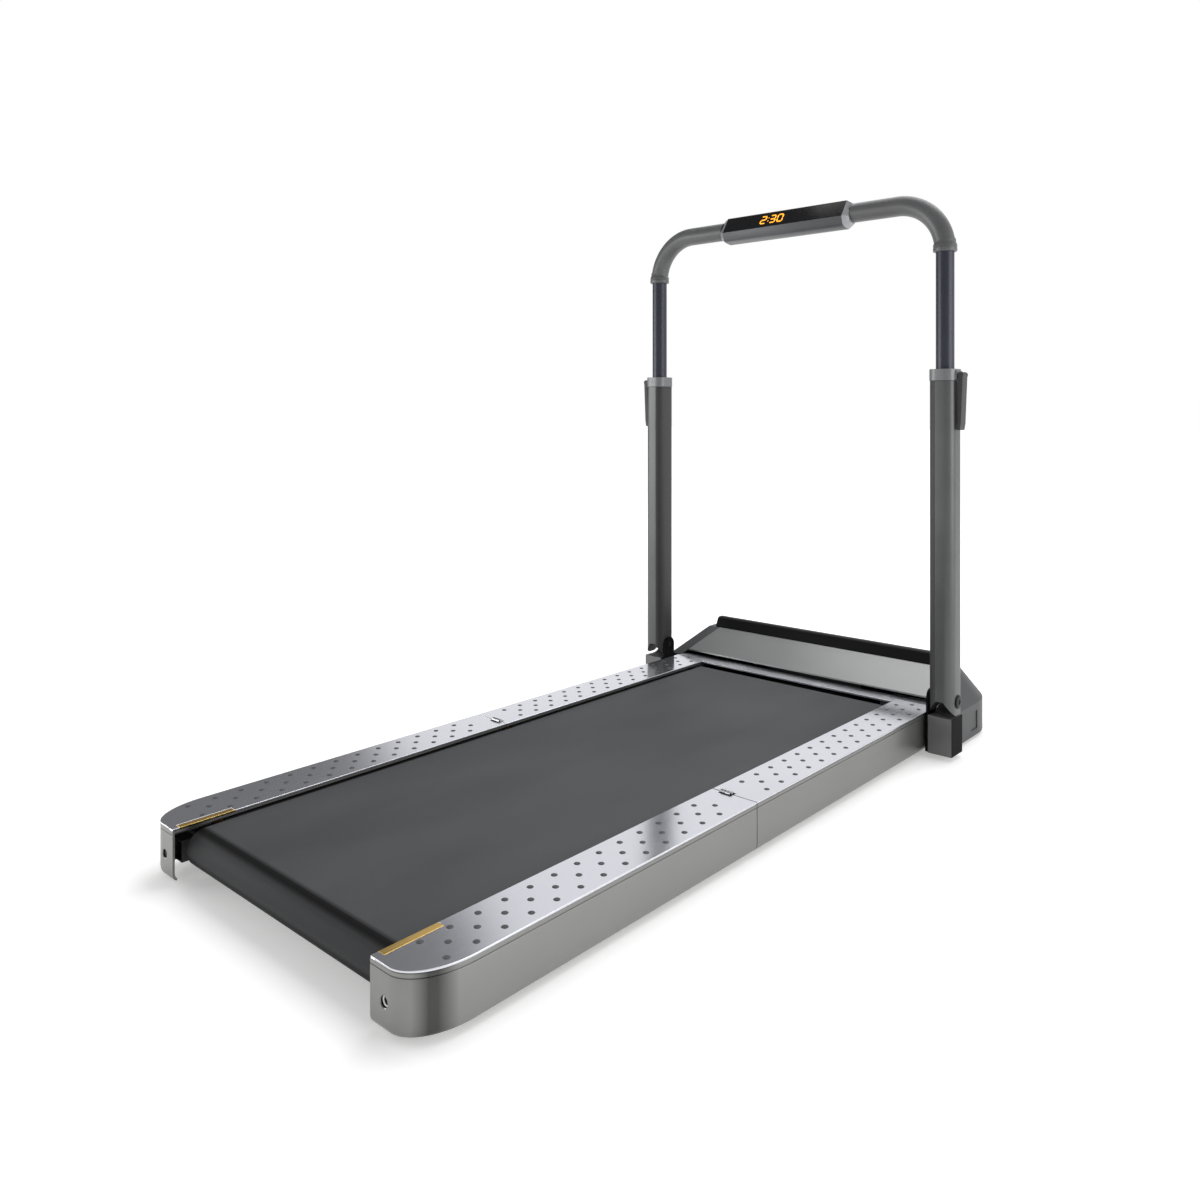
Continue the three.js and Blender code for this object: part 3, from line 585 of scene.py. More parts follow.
def plan_outline(x0, x1, y0, y1):
    """(x, y, inward x, inward y) from the inner rear corner, round the quarter ellipse, to the fold."""
    points = [(x0, y0, 0, 1), (x0 + 0.0005, y0, 0, 1), ((x0 + x1 - CORNER_WIDE) / 2, y0, 0, 1)]
    corner_steps, side_steps = 28, 12
    for i in range(corner_steps + 1):
        turn = -math.pi / 2 + math.pi / 2 * i / corner_steps
        c, s = math.cos(turn), math.sin(turn)
        nx, ny = -c / CORNER_WIDE, -s / CORNER_LONG
        size = math.hypot(nx, ny)
        x, y = x1 - CORNER_WIDE + CORNER_WIDE * c, y0 + CORNER_LONG + CORNER_LONG * s
        points.append((x, y, nx / size, ny / size))
    straight = y1 - y0 - CORNER_LONG
    points += [(x1, y0 + CORNER_LONG + straight * i / side_steps, -1, 0) for i in range(1, side_steps + 1)]
    return points


def wall_section(z0, z1):
    """The moulding's wall as (inward, height): a rolled foot, a crease under the top, and the back."""
    foot = [(0.0062, z0), (0.0048, z0 + 0.0002), (0.0030, z0 + 0.0012), (0.0014, z0 + 0.0033)]
    foot += [(0.0004, z0 + 0.0062), (0, z0 + 0.0095)]
    crease = [(0, z1 - 0.0062), (0.0002, z1 - 0.0056), (0.0009, z1 - 0.0053)]
    crease += [(0.0009, z1 - 0.0047), (0.0002, z1 - 0.0044), (0, z1 - 0.0038)]
    top = [(0, z1 - 0.0006), (0.0002, z1 - 0.0001), (0.0006, z1)]
    back = [(RAIL_WALL, z1), (RAIL_WALL, z0 + 0.0085), (0.0048, z0 + 0.0038), (0.0062, z0 + 0.0028)]
    return foot + crease + top + back


def swept_wall(path, section):
    """A closed section carried along an open plan path, with both ends closed."""
    rings = [[(x + nx * deep, y + ny * deep, z) for deep, z in section] for x, y, nx, ny in path]
    vertices, faces = skin(rings, closed=False)
    ends = range(len(section)), range(len(vertices) - len(section), len(vertices))
    return vertices, faces + [tuple(end) for end in ends]


def prism(first, second):
    """A solid between two outlines of as many points each."""
    count = len(first)
    faces = [tuple(range(count)), tuple(range(count, 2 * count))]
    faces += [(i, (i + 1) % count, (i + 1) % count + count, i + count) for i in range(count)]
    return first + second, faces


def slab(outline, z0, z1):
    """A flat plate from its plan outline."""
    return prism([(x, y, z0) for x, y in outline], [(x, y, z1) for x, y in outline])


def sided(shape, sign):
    """The right side's shape, mirrored for the left side if the sign is negative."""
    vertices, faces = shape
    return [(sign * x, y, z) for x, y, z in vertices], faces


def merged(*parts):
    vertices, faces = [], []
    for more, its_faces in parts:
        shift = len(vertices)
        vertices += more
        faces += [tuple(i + shift for i in face) for face in its_faces]
    return vertices, faces


NOTCH_X0, NOTCH_X1, NOTCH_Y, TOP_GAP = 0.234, 0.256, 0.007, 0.0001


def seam_edge(x0, x1, seam, side):
    """The edge at the fold, from the inner end outwards, with the hinge's notch in it."""
    deep = fold_y + side * NOTCH_Y
    return [(x0, seam), (NOTCH_X0, seam), (NOTCH_X0, deep), (NOTCH_X1, deep), (NOTCH_X1, seam), (x1, seam)]


def rear_plan(inset=0.0):
    x0, x1 = rail_low.x, rail_high.x
    plan = plan_outline(x0, x1, rail_low.y, rail_high.y)
    outer = [(x + nx * inset, y + ny * inset) for x, y, nx, ny in plan]
    return outer[:-1] + list(reversed(seam_edge(x0, x1 - inset, rail_high.y, -1)))


def front_plan(inset=0.0):
    x0, x1 = front_low.x, front_high.x
    return seam_edge(x0, x1 - inset, front_low.y, 1) + [(x1 - inset, front_high.y), (x0, front_high.y)]


def rear_rail():
    x0, x1 = rail_low.x, rail_high.x
    wall = swept_wall(plan_outline(x0, x1, rail_low.y, rail_high.y), wall_section(rail_low.z, rail_high.z))
    return merged(wall, slab(rear_plan(RAIL_WALL + TOP_GAP), rail_high.z - RAIL_WALL, rail_high.z - TOP_GAP))


def front_rail():
    x1 = front_high.x
    steps = 16
    path = [(x1, front_low.y + (front_high.y - front_low.y) * i / steps, -1, 0) for i in range(steps + 1)]
    wall = swept_wall(path, wall_section(front_low.z, front_high.z))
    return merged(wall, slab(front_plan(RAIL_WALL + TOP_GAP), front_high.z - RAIL_WALL, front_high.z - TOP_GAP))


BOLT_X, BOLT_Z, BOLT_HOLE, HOLE_BEVEL = 0.243, 0.038, 0.0058, 0.0008


def bolt_hole(piece, sign):
    """Cuts the bolt's round hole, with a bevelled edge, in the flat rear face, and paints its wall black as
    painted shade inside the hole.
    """
    profile = [(-0.01, 0.0), (-0.01, BOLT_HOLE + HOLE_BEVEL), (0, BOLT_HOLE + HOLE_BEVEL)]
    profile += [(HOLE_BEVEL, BOLT_HOLE), (0.02, BOLT_HOLE), (0.02, 0.0)]
    middle = Vector((sign * BOLT_X, rail_low.y, BOLT_Z))
    tool = turned("drill", profile, middle, piece.data.materials[0], 40, "Y")
    cutting = piece.modifiers.new("hole", "BOOLEAN")
    cutting.operation = "DIFFERENCE"
    cutting.solver = "EXACT"
    cutting.object = tool
    piece.data = settled(piece)
    bpy.data.objects.remove(tool)
    piece.data.set_sharp_from_angle(angle=SHARP_ANGLE)
    # The hole's wall gets the black finish: painted shade inside the hole.
    piece.data.materials.append(bolt_black)
    for face in piece.data.polygons:
        spot = face.center - middle
        if math.hypot(spot.x, spot.z) < BOLT_HOLE + 0.0002 and abs(face.normal.y) < 0.5:
            face.material_index = len(piece.data.materials) - 1


bolt_black = coated("bolt_black", srgb(14, 14, 15), 0.4, shine=0.2)
grey_rail = rail_paint()
for side, sign in (("right", 1), ("left", -1)):
    for section, shape in (("rear", rear_rail()), ("front", front_rail())):
        rail = new_piece(f"rail_{section}_{side}", *sided(shape, sign), grey_rail)
        if section == "rear":
            bolt_hole(rail, sign)
        stands_for(rail, f"side_rail_{section}_{side}", f"{section}_section")


# ---- Belt tension bolts ---------------------------------------------------------------------------
# A black socket-head bolt of blackened steel behind each rear hole pulls the rear axle back to
# tighten the belt.

socket_head = [(0.0035, 0.0022), (0.0035, 0.0040), (0.0039, 0.0045), (0.009, 0.0046), (0.009, 0.003)]
socket_head += [(0.0157, 0.003), (0.016, 0.0026), (0.016, 0.0), (0.0062, 0.0), (0.0058, 0.0022)]
for side, sign in (("right", 1), ("left", -1)):
    bolt = turned(f"socket_bolt_{side}", socket_head, (sign * BOLT_X, rail_low.y, BOLT_Z), bolt_black, 36, "Y")
    stands_for(bolt, f"tension_bolt_{side}", "rear_section")


# ---- Foot plates ----------------------------------------------------------------------------------
# Bright brushed aluminium plates that the walker stands on to get on and off. They lie on the rails,
# follow their outline and have softly rounded edges.


def plate_silver():
    plate = Finish(bpy.data.materials.new("plate_silver"))
    lines = plate.grain(1700.0, 4.0, (1, 0.02, 1))
    slow = plate.ramp(plate.grain(7.0, 2.0, (1, 0.5, 1)), 0.3, 0.7)
    base = plate.mix(lines * 0.4 + slow * 0.3, srgb(204, 205, 211), srgb(222, 223, 228))
    gloss = 0.15 + (lines - 0.5) * 0.08 + (slow - 0.5) * 0.04
    relief = plate.bump(lines, 0.00002, 0.2)
    return plate.surface(Base_Color=base, Roughness=gloss, Metallic=0.9, Normal=relief)


silver = plate_silver()
ACCENT_Y0, ACCENT_LONG, ACCENT_WIDE, POCKET_GAP = 0.010, 0.076, 0.010, 0.0003


def rear_plate_plan():
    """The rear plate's outline, with a pocket in its inner edge for the gold strip."""
    start = rail_low.y + ACCENT_Y0 - POCKET_GAP
    end = rail_low.y + ACCENT_Y0 + ACCENT_LONG + POCKET_GAP
    inner = rail_low.x + ACCENT_WIDE + POCKET_GAP
    return rear_plan() + [(rail_low.x, end), (inner, end), (inner, start), (rail_low.x, start)]


for side, sign in (("right", 1), ("left", -1)):
    for section, plan in (("rear", rear_plate_plan()), ("front", front_plan())):
        shape = sided(slab(plan, plate_low.z, plate_high.z), sign)
        plate = edged(new_piece(f"plate_{section}_{side}", *shape, silver), 0.0008, 3, 40)
        stands_for(plate, f"foot_plate_{section}_{side}", f"{section}_section")


# ---- Anti-slip studs ------------------------------------------------------------------------------
# Three rows of low round studs of dark rubber are set in each foot plate, the middle row half a
# pitch on.


def stud_rubber():
    rubber = Finish(bpy.data.materials.new("stud_rubber"))
    fine = rubber.grain(2400.0, 3.0)
    colour = rubber.mix(rubber.grain(30.0), srgb(62, 63, 66), srgb(84, 85, 88))
    gloss = 0.7 + (fine - 0.5) * 0.2
    return rubber.surface(Base_Color=colour, Roughness=gloss, Normal=rubber.bump(fine, 0.0001, 0.5))


def stud_rows():
    """Rows of low domed studs: named inputs give the rows' places, the pitch and the stud's size."""
    tree = bpy.data.node_groups.new("stud_rows", "GeometryNodeTree")
    labels = ("Side", "First row", "Row step", "Start", "Pitch", "Count", "Top", "Radius", "Rise", "Material")
    kinds = {"Count": "Int", "Material": "Material"}
    for label in labels:
        tree.interface.new_socket(label, in_out="INPUT", socket_type=f"NodeSocket{kinds.get(label, 'Float')}")
    tree.interface.new_socket("Geometry", in_out="OUTPUT", socket_type="NodeSocketGeometry")
    given = tree.nodes.new("NodeGroupInput").outputs

    def add(kind, values, output=0, **settings):
        node = tree.nodes.new(kind)
        for key, value in settings.items():
            setattr(node, key, value)
        for key, value in values.items():
            if isinstance(value, bpy.types.NodeSocket):
                tree.links.new(value, node.inputs[key])
            else:
                node.inputs[key].default_value = value
        return node.outputs[output]

    def worked(a, b, operation="ADD"):
        return add("ShaderNodeMath", {0: a, 1: b}, operation=operation)

    rows = []
    for row in range(3):
        out = worked(given["First row"], worked(given["Row step"], float(row), "MULTIPLY"))
        shift = worked(given["Start"], worked(given["Pitch"], 0.5 * (row % 2), "MULTIPLY"))
        across = worked(out, given["Side"], "MULTIPLY")
        start = add("ShaderNodeCombineXYZ", {"X": across, "Y": shift, "Z": given["Top"]})
        step = add("ShaderNodeCombineXYZ", {"Y": given["Pitch"]})
        line = {"Count": given["Count"], "Start Location": start, "Offset": step}
        rows.append(add("GeometryNodeMeshLine", line))
    lines = tree.nodes.new("GeometryNodeJoinGeometry")
    for row in rows:
        tree.links.new(row, lines.inputs[0])
    dome = add("GeometryNodeMeshUVSphere", {"Segments": 14, "Rings": 8, "Radius": given["Radius"]})
    flatness = worked(given["Rise"], given["Radius"], "DIVIDE")
    squashed = add("ShaderNodeCombineXYZ", {"X": 1.0, "Y": 1.0, "Z": flatness})
    low_dome = add("GeometryNodeTransform", {"Geometry": dome, "Scale": squashed})
    studs = add("GeometryNodeInstanceOnPoints", {"Points": lines.outputs[0], "Instance": low_dome})
    real = add("GeometryNodeRealizeInstances", {"Geometry": studs})
    painted = add("GeometryNodeSetMaterial", {"Geometry": real, "Material": given["Material"]})
    tree.links.new(painted, tree.nodes.new("NodeGroupOutput").inputs[0])
    return tree


def grown(name, tree, **sizes):
    """Runs a Geometry Nodes tree with its named inputs and returns the plain mesh that it makes."""
    seed = bpy.data.objects.new(name, bpy.data.meshes.new(name + "_seed"))
    bpy.context.scene.collection.objects.link(seed)
    growth = seed.modifiers.new("growth", "NODES")
    growth.node_group = tree
    for item in tree.interface.items_tree:
        key = item.name.lower().replace(" ", "_")
        if item.in_out == "INPUT" and key in sizes:
            growth[item.identifier] = sizes[key]
    seed.data = settled(seed)
    seed.data.name = name
    seed.data.shade_smooth()
    seed.data.set_sharp_from_angle(angle=math.radians(40))
    return seed


dark_studs = stud_rubber()
stud_tree = stud_rows()
STUD_PITCH, STUD_START, STUD_ROW, ROW_STEP = 0.0392, 0.049, 0.237, 0.0215
STUD_RADIUS, STUD_RISE = 0.0042, 0.0009
END_MARGIN, SEAM_MARGIN = 0.030, 0.012
stud_zero = rail_low.y + STUD_START
first_front = math.ceil((fold_y + SEAM_MARGIN - stud_zero) / STUD_PITCH)
rear_count = int((fold_y - END_MARGIN - stud_zero) / STUD_PITCH) + 1
front_count = int((front_high.y - END_MARGIN - stud_zero) / STUD_PITCH) - first_front + 1
for side, sign in (("right", 1.0), ("left", -1.0)):
    for section, first, count in (("rear", 0, rear_count), ("front", first_front, front_count)):
        studs = grown(
            f"studs_{section}_{side}", stud_tree, side=sign, first_row=STUD_ROW, row_step=ROW_STEP,
            start=stud_zero + first * STUD_PITCH, pitch=STUD_PITCH, count=count,
            top=plate_high.z, radius=STUD_RADIUS, rise=STUD_RISE, material=dark_studs,
        )
        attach(studs, f"{section}_section")


# ---- Gold strips ----------------------------------------------------------------------------------
# A short strip of gold-anodised aluminium is let into a pocket in the inner edge of each rear foot
# plate.

gold = brushed("gold_anodised", srgb(234, 196, 112), 0.28, (1, 0.02, 1), 0.08)
for side in ("left", "right"):
    recast(f"accent_strip_{side}", f"gold_strip_{side}", gold, "accent_gold", "rear_section", 0.0003, 2)


# ---- Motor and drive ------------------------------------------------------------------------------
# Under the hood a direct-current motor drives the front roller by a ribbed belt. Its controller
# board sits beside it on an aluminium heat sink.

motor_paint = coated("motor_paint", srgb(40, 40, 42), 0.45, 0.2)
ribbed_rubber = coated("ribbed_rubber", srgb(28, 28, 29), 0.8, grain=1800.0)
cast_aluminium = coated("cast_aluminium", srgb(176, 178, 180), 0.45, 1.0, 1200.0)


def circuit_board():
    board = Finish(bpy.data.materials.new("circuit_board"))
    where = board.place()
    cells = board.node("ShaderNodeTexVoronoi", {"feature": "F1"}, {"Vector": where, "Scale": 180.0})
    pads = board.ramp(cells, 0.16, 0.12)
    bricks = board.node("ShaderNodeTexBrick", values={"Vector": where, "Scale": 90.0}, output=1)
    tracks = board.ramp(bricks, 0.4, 0.6)
    green = board.mix(tracks * 0.5, srgb(24, 84, 52), srgb(40, 112, 68))
    colour = board.mix(pads, green, srgb(190, 190, 180))
    relief = board.bump(pads, 0.0001, 0.5)
    return board.surface(Base_Color=colour, Roughness=0.45 - pads * 0.15, Metallic=pads, Normal=relief)


green_board = circuit_board()
dress("controller_board", green_board)
recast("motor_housing", "motor_can", motor_paint, "motor_black", "front_section", 0.0015)
recast("motor_rotor", "motor_shaft", bright_steel, "bright_steel", "motor_rotor", 0.0006, 2)
recast("drive_belt", "drive_belt_loop", ribbed_rubber, "drive_rubber", "front_section", 0.0004, 2)
recast("heat_sink", "finned_sink", cast_aluminium, "sink_aluminium", "front_section", 0.0003, 2)


# ---- Pan, feet and transport wheels ---------------------------------------------------------------
# A black pan closes the hood from below and carries two small wheels, which touch the floor when the
# machine is stood on its hood end. Four rubber feet carry the deck.

pan_black = coated("pan_black", srgb(36, 36, 37), 0.6, grain=1300.0, relief=0.0001)
foot_rubber = coated("foot_rubber", srgb(30, 30, 31), 0.85, grain=1500.0, relief=0.00012)
wheel_hub = coated("wheel_hub", srgb(52, 52, 54), 0.5)
recast("bottom_pan", "hood_pan", pan_black, "frame_black", "front_section", 0.0006, 2)
HUB_RADIUS = 0.0156
for side, sign in (("right", 1), ("left", -1)):
    for place, section in (("rear", "rear"), ("middle", "front")):
        centre, tall = middle_of(f"foot_{place}_{side}"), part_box(f"foot_{place}_{side}")[1].z
        profile = [(0.0, 0.0), (0.0, 0.0118), (0.0009, 0.0128), (0.004, 0.013), (0.0052, 0.0122)]
        profile += [(0.0064, 0.0122), (0.0076, 0.013), (tall - 0.003, 0.0115), (tall, 0.0108), (tall, 0.0)]
        foot = turned(f"pad_{place}_{side}", profile, (centre.x, centre.y, 0), foot_rubber, 40, "Z")
        stands_for(foot, f"foot_{place}_{side}", f"{section}_section")
    low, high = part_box(f"transport_wheel_{side}")
    centre = middle_of(f"transport_wheel_{side}")
    half, radius = (high.x - low.x) / 2, (high.z - low.z) / 2
    tyre = [(half, 0.0045), (half, 0.0085), (half - 0.002, 0.009), (half - 0.002, 0.0150), (half, 0.0158)]
    tyre += [(half - 0.0003, radius - 0.003), (half - 0.0022, radius - 0.0006), (half - 0.005, radius)]
    tyre += [(0.0012, radius), (0.0004, radius - 0.0006)]
    wheel = turned(f"wheel_{side}", both_ends(tyre), centre, foot_rubber, 72)
    wheel.data.materials.append(wheel_hub)
    for face in wheel.data.polygons:
        spot = face.center - centre
        face.material_index = 1 if math.hypot(spot.y, spot.z) < HUB_RADIUS else 0
    stands_for(wheel, f"transport_wheel_{side}", f"transport_wheel_{side}")


# ---- Motor hood -----------------------------------------------------------------------------------
# A low moulded hood in silver-grey metallic paint covers the motor. Darker textured covers close its
# two ends, a soft black strip runs along its ridge, and a bright strip joins it to the deck.


def hood_paint():
    paint = Finish(bpy.data.materials.new("hood_paint"))
    flake = paint.grain(2400.0, 1.0)
    slow = paint.ramp(paint.grain(5.0), 0.3, 0.7)
    base = paint.mix(flake * 0.3 + slow * 0.2, srgb(134, 135, 134), srgb(160, 161, 161))
    gloss = 0.34 + (flake - 0.5) * 0.14 + (slow - 0.5) * 0.05
    relief = paint.bump(flake, 0.00003, 0.3)
    return paint.surface(Base_Color=base, Roughness=gloss, Metallic=0.6, Normal=relief)


hood_silver = hood_paint()
cover_dark = coated("cover_dark", srgb(62, 63, 64), 0.5, 0.15, 1100.0, 0.0001)
ridge_black = coated("ridge_black", srgb(8, 8, 9), 0.55, grain=1600.0, relief=0.00012, shine=0.15)
trim_bright = brushed("trim_bright", srgb(206, 208, 214), 0.25)
recast("hood_shell", "hood", hood_silver, "hood_grey", "front_section", 0.003, 4, 14)
recast("hood_ridge_strip", "ridge_strip", ridge_black, "plain_black", "front_section", 0.002, 3, 25)
recast("hood_trim_strip", "trim_strip", trim_bright, "plate_silver", "front_section", 0.0008)
for side in ("left", "right"):
    cover = f"end_cover_{side}"
    recast(f"hood_{cover}", cover, cover_dark, "cover_grey", "front_section", 0.0022, 3, 14)


# ---- Power inlet and switch -----------------------------------------------------------------------
# The mains lead plugs in at the left of the hood's front wall, beside a rocker switch. Both are
# moulded in black plastic.

moulded_black = coated("moulded_black", srgb(26, 26, 27), 0.45, grain=1200.0)
recast("power_inlet", "mains_inlet", moulded_black, "plain_black", "front_section", 0.0004, 2)
recast("power_switch", "rocker", moulded_black, "plain_black", "power_switch", 0.0008, 3, 20)


# ---- Upright brackets -----------------------------------------------------------------------------
# Each upright stands in a cast grey bracket beside the deck, with an inner ear that carries the
# pivot pin. The ear's inner faces and the outer cheek are painted near-black, as painted shade in
# the gap beside the rail and on the shaded outer side. The pin has a broad flat head.

bracket_grey = coated("bracket_grey", srgb(106, 106, 106), 0.42, 0.4, 1400.0)
# Near-black with almost no shine: painted shade on the bracket's ear and outer cheek.
ear_black = coated("ear_black", srgb(14, 14, 15), 0.6, shine=0.05)
EAR_EDGE, CAP_EDGE = 0.3058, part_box("post_bracket_right")[1].x - 0.0009
for side, sign in (("right", 1), ("left", -1)):
    bracket = softened(f"post_bracket_{side}", f"bracket_{side}", bracket_grey, 0.0014, 3, 28)
    bracket.data.materials.append(ear_black)
    # Faces inside the ear edge and outside the cheek edge get the painted shade.
    for face in bracket.data.polygons:
        face.material_index = 0 if EAR_EDGE < abs(face.center.x) < CAP_EDGE else 1
    stands_for(bracket, f"post_bracket_{side}", "front_section")
    low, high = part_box(f"post_pin_{side}")
    centre = middle_of(f"post_pin_{side}")
    inner, outer = (low.x, high.x) if sign > 0 else (-high.x, -low.x)
    profile = [(inner, 0.0), (inner, 0.0052), (inner + 0.0008, 0.006), (outer - 0.0027, 0.006)]
    profile += [(outer - 0.0027, 0.0114), (outer - 0.0022, 0.012), (outer - 0.0012, 0.012)]
    profile += [(outer - 0.0003, 0.0108), (outer, 0.0098), (outer, 0.0045), (outer - 0.0012, 0.0040)]
    profile += [(outer - 0.0012, 0.0)]
    profile = [(sign * along, radius) for along, radius in profile]
    pin = turned(f"pivot_pin_{side}", profile, (0, centre.y, centre.z), bolt_black, 48)
    stands_for(pin, f"post_pin_{side}", "front_section")


# ---- Uprights -------------------------------------------------------------------------------------
# The uprights are drawn tubes of rounded box section in dark satin paint. Their inner side is painted
# darker and less metallic as painted shade, with a groove bumped in along its edge. A round-bottomed
# casting closes each at its foot, about the pivot pin, and a cast catch block in the bracket holds it
# upright.

INNER_SHADE_EDGE = 0.3195
POST_ROUND, POST_WALL, TUBE_FOOT, BRACKET_TOP = 0.016, 0.002, 0.129, 0.076
CATCH_IN, CATCH_OUT, CATCH_LONG = 0.3075, 0.3455, 0.0235


def post_satin():
    paint = Finish(bpy.data.materials.new("post_satin"))
    across = abs(paint.axis("X"))
    flake = paint.grain(1800.0, 2.0)
    slow = paint.ramp(paint.grain(9.0), 0.3, 0.7)
    # Painted shade: each upright's inner side is darker, rougher and less metallic.
    inner_painted_shade = paint.ramp(across, INNER_SHADE_EDGE + 0.0003, INNER_SHADE_EDGE)
    grey = paint.mix(slow * 0.6 + flake * 0.3, srgb(80, 81, 81), srgb(94, 95, 95))
    base = paint.mix(inner_painted_shade, grey, srgb(46, 46, 47))
    beside = paint.ramp(abs(across - INNER_SHADE_EDGE), 0.0002, 0.0006)
    relief = paint.bump(beside, 0.0004, 0.6, paint.bump(flake, 0.00003, 0.4))
    gloss = 0.38 + inner_painted_shade * 0.14 + (flake - 0.5) * 0.1
    return paint.surface(Base_Color=base, Roughness=gloss, Metallic=0.5 - inner_painted_shade * 0.5, Normal=relief)


def box_section(cx, cy, wide, deep, radius, steps=10):
    """A rounded box's outline, anticlockwise from its right rear corner."""
    outline = []
    for quarter, (sx, sy) in enumerate(((1, -1), (1, 1), (-1, 1), (-1, -1))):
        x, y = cx + sx * (wide / 2 - radius), cy + sy * (deep / 2 - radius)
        for i in range(steps + 1):
            turn = math.pi / 2 * (quarter - 1 + i / steps)
            outline.append((x + radius * math.cos(turn), y + radius * math.sin(turn)))
    return outline


def upright(cx, cy, pivot_z, top, wide, deep):
    outside = box_section(cx, cy, wide, deep, POST_ROUND)
    bore = box_section(cx, cy, wide - 2 * POST_WALL, deep - 2 * POST_WALL, POST_ROUND - POST_WALL)
    count = len(outside)

    def foot(y):
        return pivot_z - math.sqrt(max(0.0, (deep / 2) ** 2 - (y - cy) ** 2))

    shells = [[(x, y, foot(y)) for x, y in outside], [(x, y, pivot_z) for x, y in outside]]
    shells += [[(x, y, top - 0.0005) for x, y in outside]]
    rim = box_section(cx, cy, wide - 0.0008, deep - 0.0008, POST_ROUND - 0.0004)
    shells += [[(x, y, top) for x, y in rim], [(x, y, top) for x, y in bore], [(x, y, TUBE_FOOT) for x, y in bore]]
    vertices, faces = skin(shells, closed=False)
    half = count // 2
    order = list(range(count // 4 * 3, count)) + list(range(0, count // 4 * 3))
    faces.append(tuple((len(shells) - 1) * count + i for i in range(count)))
    for i in range(half - 1):
        a, b = order[i], order[i + 1]
        c, d = order[count - 2 - i], order[count - 1 - i]
        faces.append((a, b, c, d))
    return vertices, faces


def catch_block(x0, x1, cy, y1, z0, z1, radius):
    """A block in front of the upright's round foot, hollowed to its radius about (cy, z1)."""
    turns = [-math.pi / 2 * i / 16 for i in range(17)]
    hollow = [(cy + radius * math.cos(turn), z1 + radius * math.sin(turn)) for turn in turns]
    outline = [(y1, z0), (y1, z1)] + hollow + [(cy, z0)]
    return prism([(x0, y, z) for y, z in outline], [(x1, y, z) for y, z in outline])


upright_paint = post_satin()
_, pivot_y, pivot_z = joint_spot("handrail_fold")
for side, sign in (("right", 1), ("left", -1)):
    low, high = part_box(f"post_{side}")
    wide, deep = high.x - low.x, high.y - low.y
    shape = upright((low.x + high.x) / 2, pivot_y, pivot_z, high.z, wide, deep)
    tube = new_piece(f"upright_{side}", *shape, upright_paint)
    stands_for(tube, f"post_{side}", "handrail")
    floor_z, top_z = BRACKET_TOP + 0.0001, pivot_z - 0.0004
    shape = catch_block(CATCH_IN, CATCH_OUT, pivot_y, pivot_y + CATCH_LONG, floor_z, top_z, deep / 2 + 0.0008)
    catch = edged(new_piece(f"catch_{side}", *sided(shape, sign), bracket_grey), 0.0005, 2)
    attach(catch, "front_section")


# ---- Clamp collars and levers ---------------------------------------------------------------------
# A cast collar caps each upright and grips the sliding tube when its cam lever, on the outer side, is
# pressed down along the upright.

collar_grey = coated("collar_grey", srgb(118, 119, 120), 0.42, 0.45)
lever_dark = coated("lever_dark", srgb(38, 39, 41), 0.5)
for side in ("left", "right"):
    collar, lever = f"collar_{side}", f"lever_{side}"
    recast(collar, f"clamp_{collar}", collar_grey, "side_grey", "handrail", 0.0016, 3, 28)
    recast(lever, f"cam_{lever}", lever_dark, "console_grey", lever, 0.0016, 3, 28)


# ---- Handlebar ------------------------------------------------------------------------------------
# One bent steel tube, 32 mm across, with a wide bend at each corner, painted dark blue-grey. Its legs
# slide in the uprights.

bar_paint = coated("bar_paint", srgb(50, 52, 62), 0.36, 0.4, 2000.0, 0.00002, 0.05)
BAR_RADIUS, BAR_BORE, BAR_BEND = 0.016, 0.0142, 0.090
tube_low, tube_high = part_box("handlebar_tube")
bar_x = tube_high.x - BAR_RADIUS
bar_y = (tube_low.y + tube_high.y) / 2
bar_z = tube_high.z - BAR_RADIUS


def bar_line(from_z, to_x, steps=22, straight=6):
    """(point, sideways) along the right half: up the leg, round the bend and along to to_x."""
    rise = bar_z - BAR_BEND - from_z
    run = to_x - bar_x + BAR_BEND
    line = []
    for i in range(straight):
        line.append((Vector((bar_x, bar_y, from_z + rise * i / straight)), Vector((1, 0, 0))))
    for i in range(steps + 1):
        turn = math.pi / 2 * i / steps
        out = Vector((math.cos(turn), 0, math.sin(turn)))
        line.append((Vector((bar_x - BAR_BEND, bar_y, bar_z - BAR_BEND)) + out * BAR_BEND, out))
    for i in range(1, straight + 1):
        line.append((Vector((bar_x - BAR_BEND + run * i / straight, bar_y, bar_z)), Vector((0, 0, 1))))
    return line


def hose(line, radii, bore, sides=48):
    """A tube round a line, with its own outer radius at each of its points and one bore."""
    turns = [2 * math.pi * k / sides for k in range(sides)]

    def ring(centre, out, radius):
        return [centre + (out * math.cos(t) + Vector((0, 1, 0)) * math.sin(t)) * radius for t in turns]

    outside = [ring(centre, out, radius) for (centre, out), radius in zip(line, radii)]
    return skin(outside + [ring(centre, out, bore) for centre, out in reversed(line)])


half_line = bar_line(tube_low.z, 0.0)
other_half = [(Vector((-p.x, p.y, p.z)), Vector((-o.x, o.y, o.z))) for p, o in reversed(half_line[:-1])]
whole_line = half_line + other_half
tube_shape = hose(whole_line, [BAR_RADIUS] * len(whole_line), BAR_BORE)
bar = new_piece("sliding_bar", *tube_shape, bar_paint)
stands_for(bar, "handlebar_tube", "handlebar")


# ---- Grips ----------------------------------------------------------------------------------------
# Soft grey grips are moulded over both bends. Each ends below in a flared sleeve with two rings, and
# has a fine parting line where its halves of the mould met.


def grip_foam():
    foam = Finish(bpy.data.materials.new("grip_foam"))
    pores = foam.grain(1300.0, 5.0)
    slow = foam.ramp(foam.grain(14.0), 0.3, 0.7)
    colour = foam.mix(pores * 0.5 + slow * 0.3, srgb(76, 77, 78), srgb(98, 98, 98))
    gloss = 0.4 + (pores - 0.5) * 0.2
    return foam.surface(Base_Color=colour, Roughness=gloss, Normal=foam.bump(pores, 0.00008, 0.4))


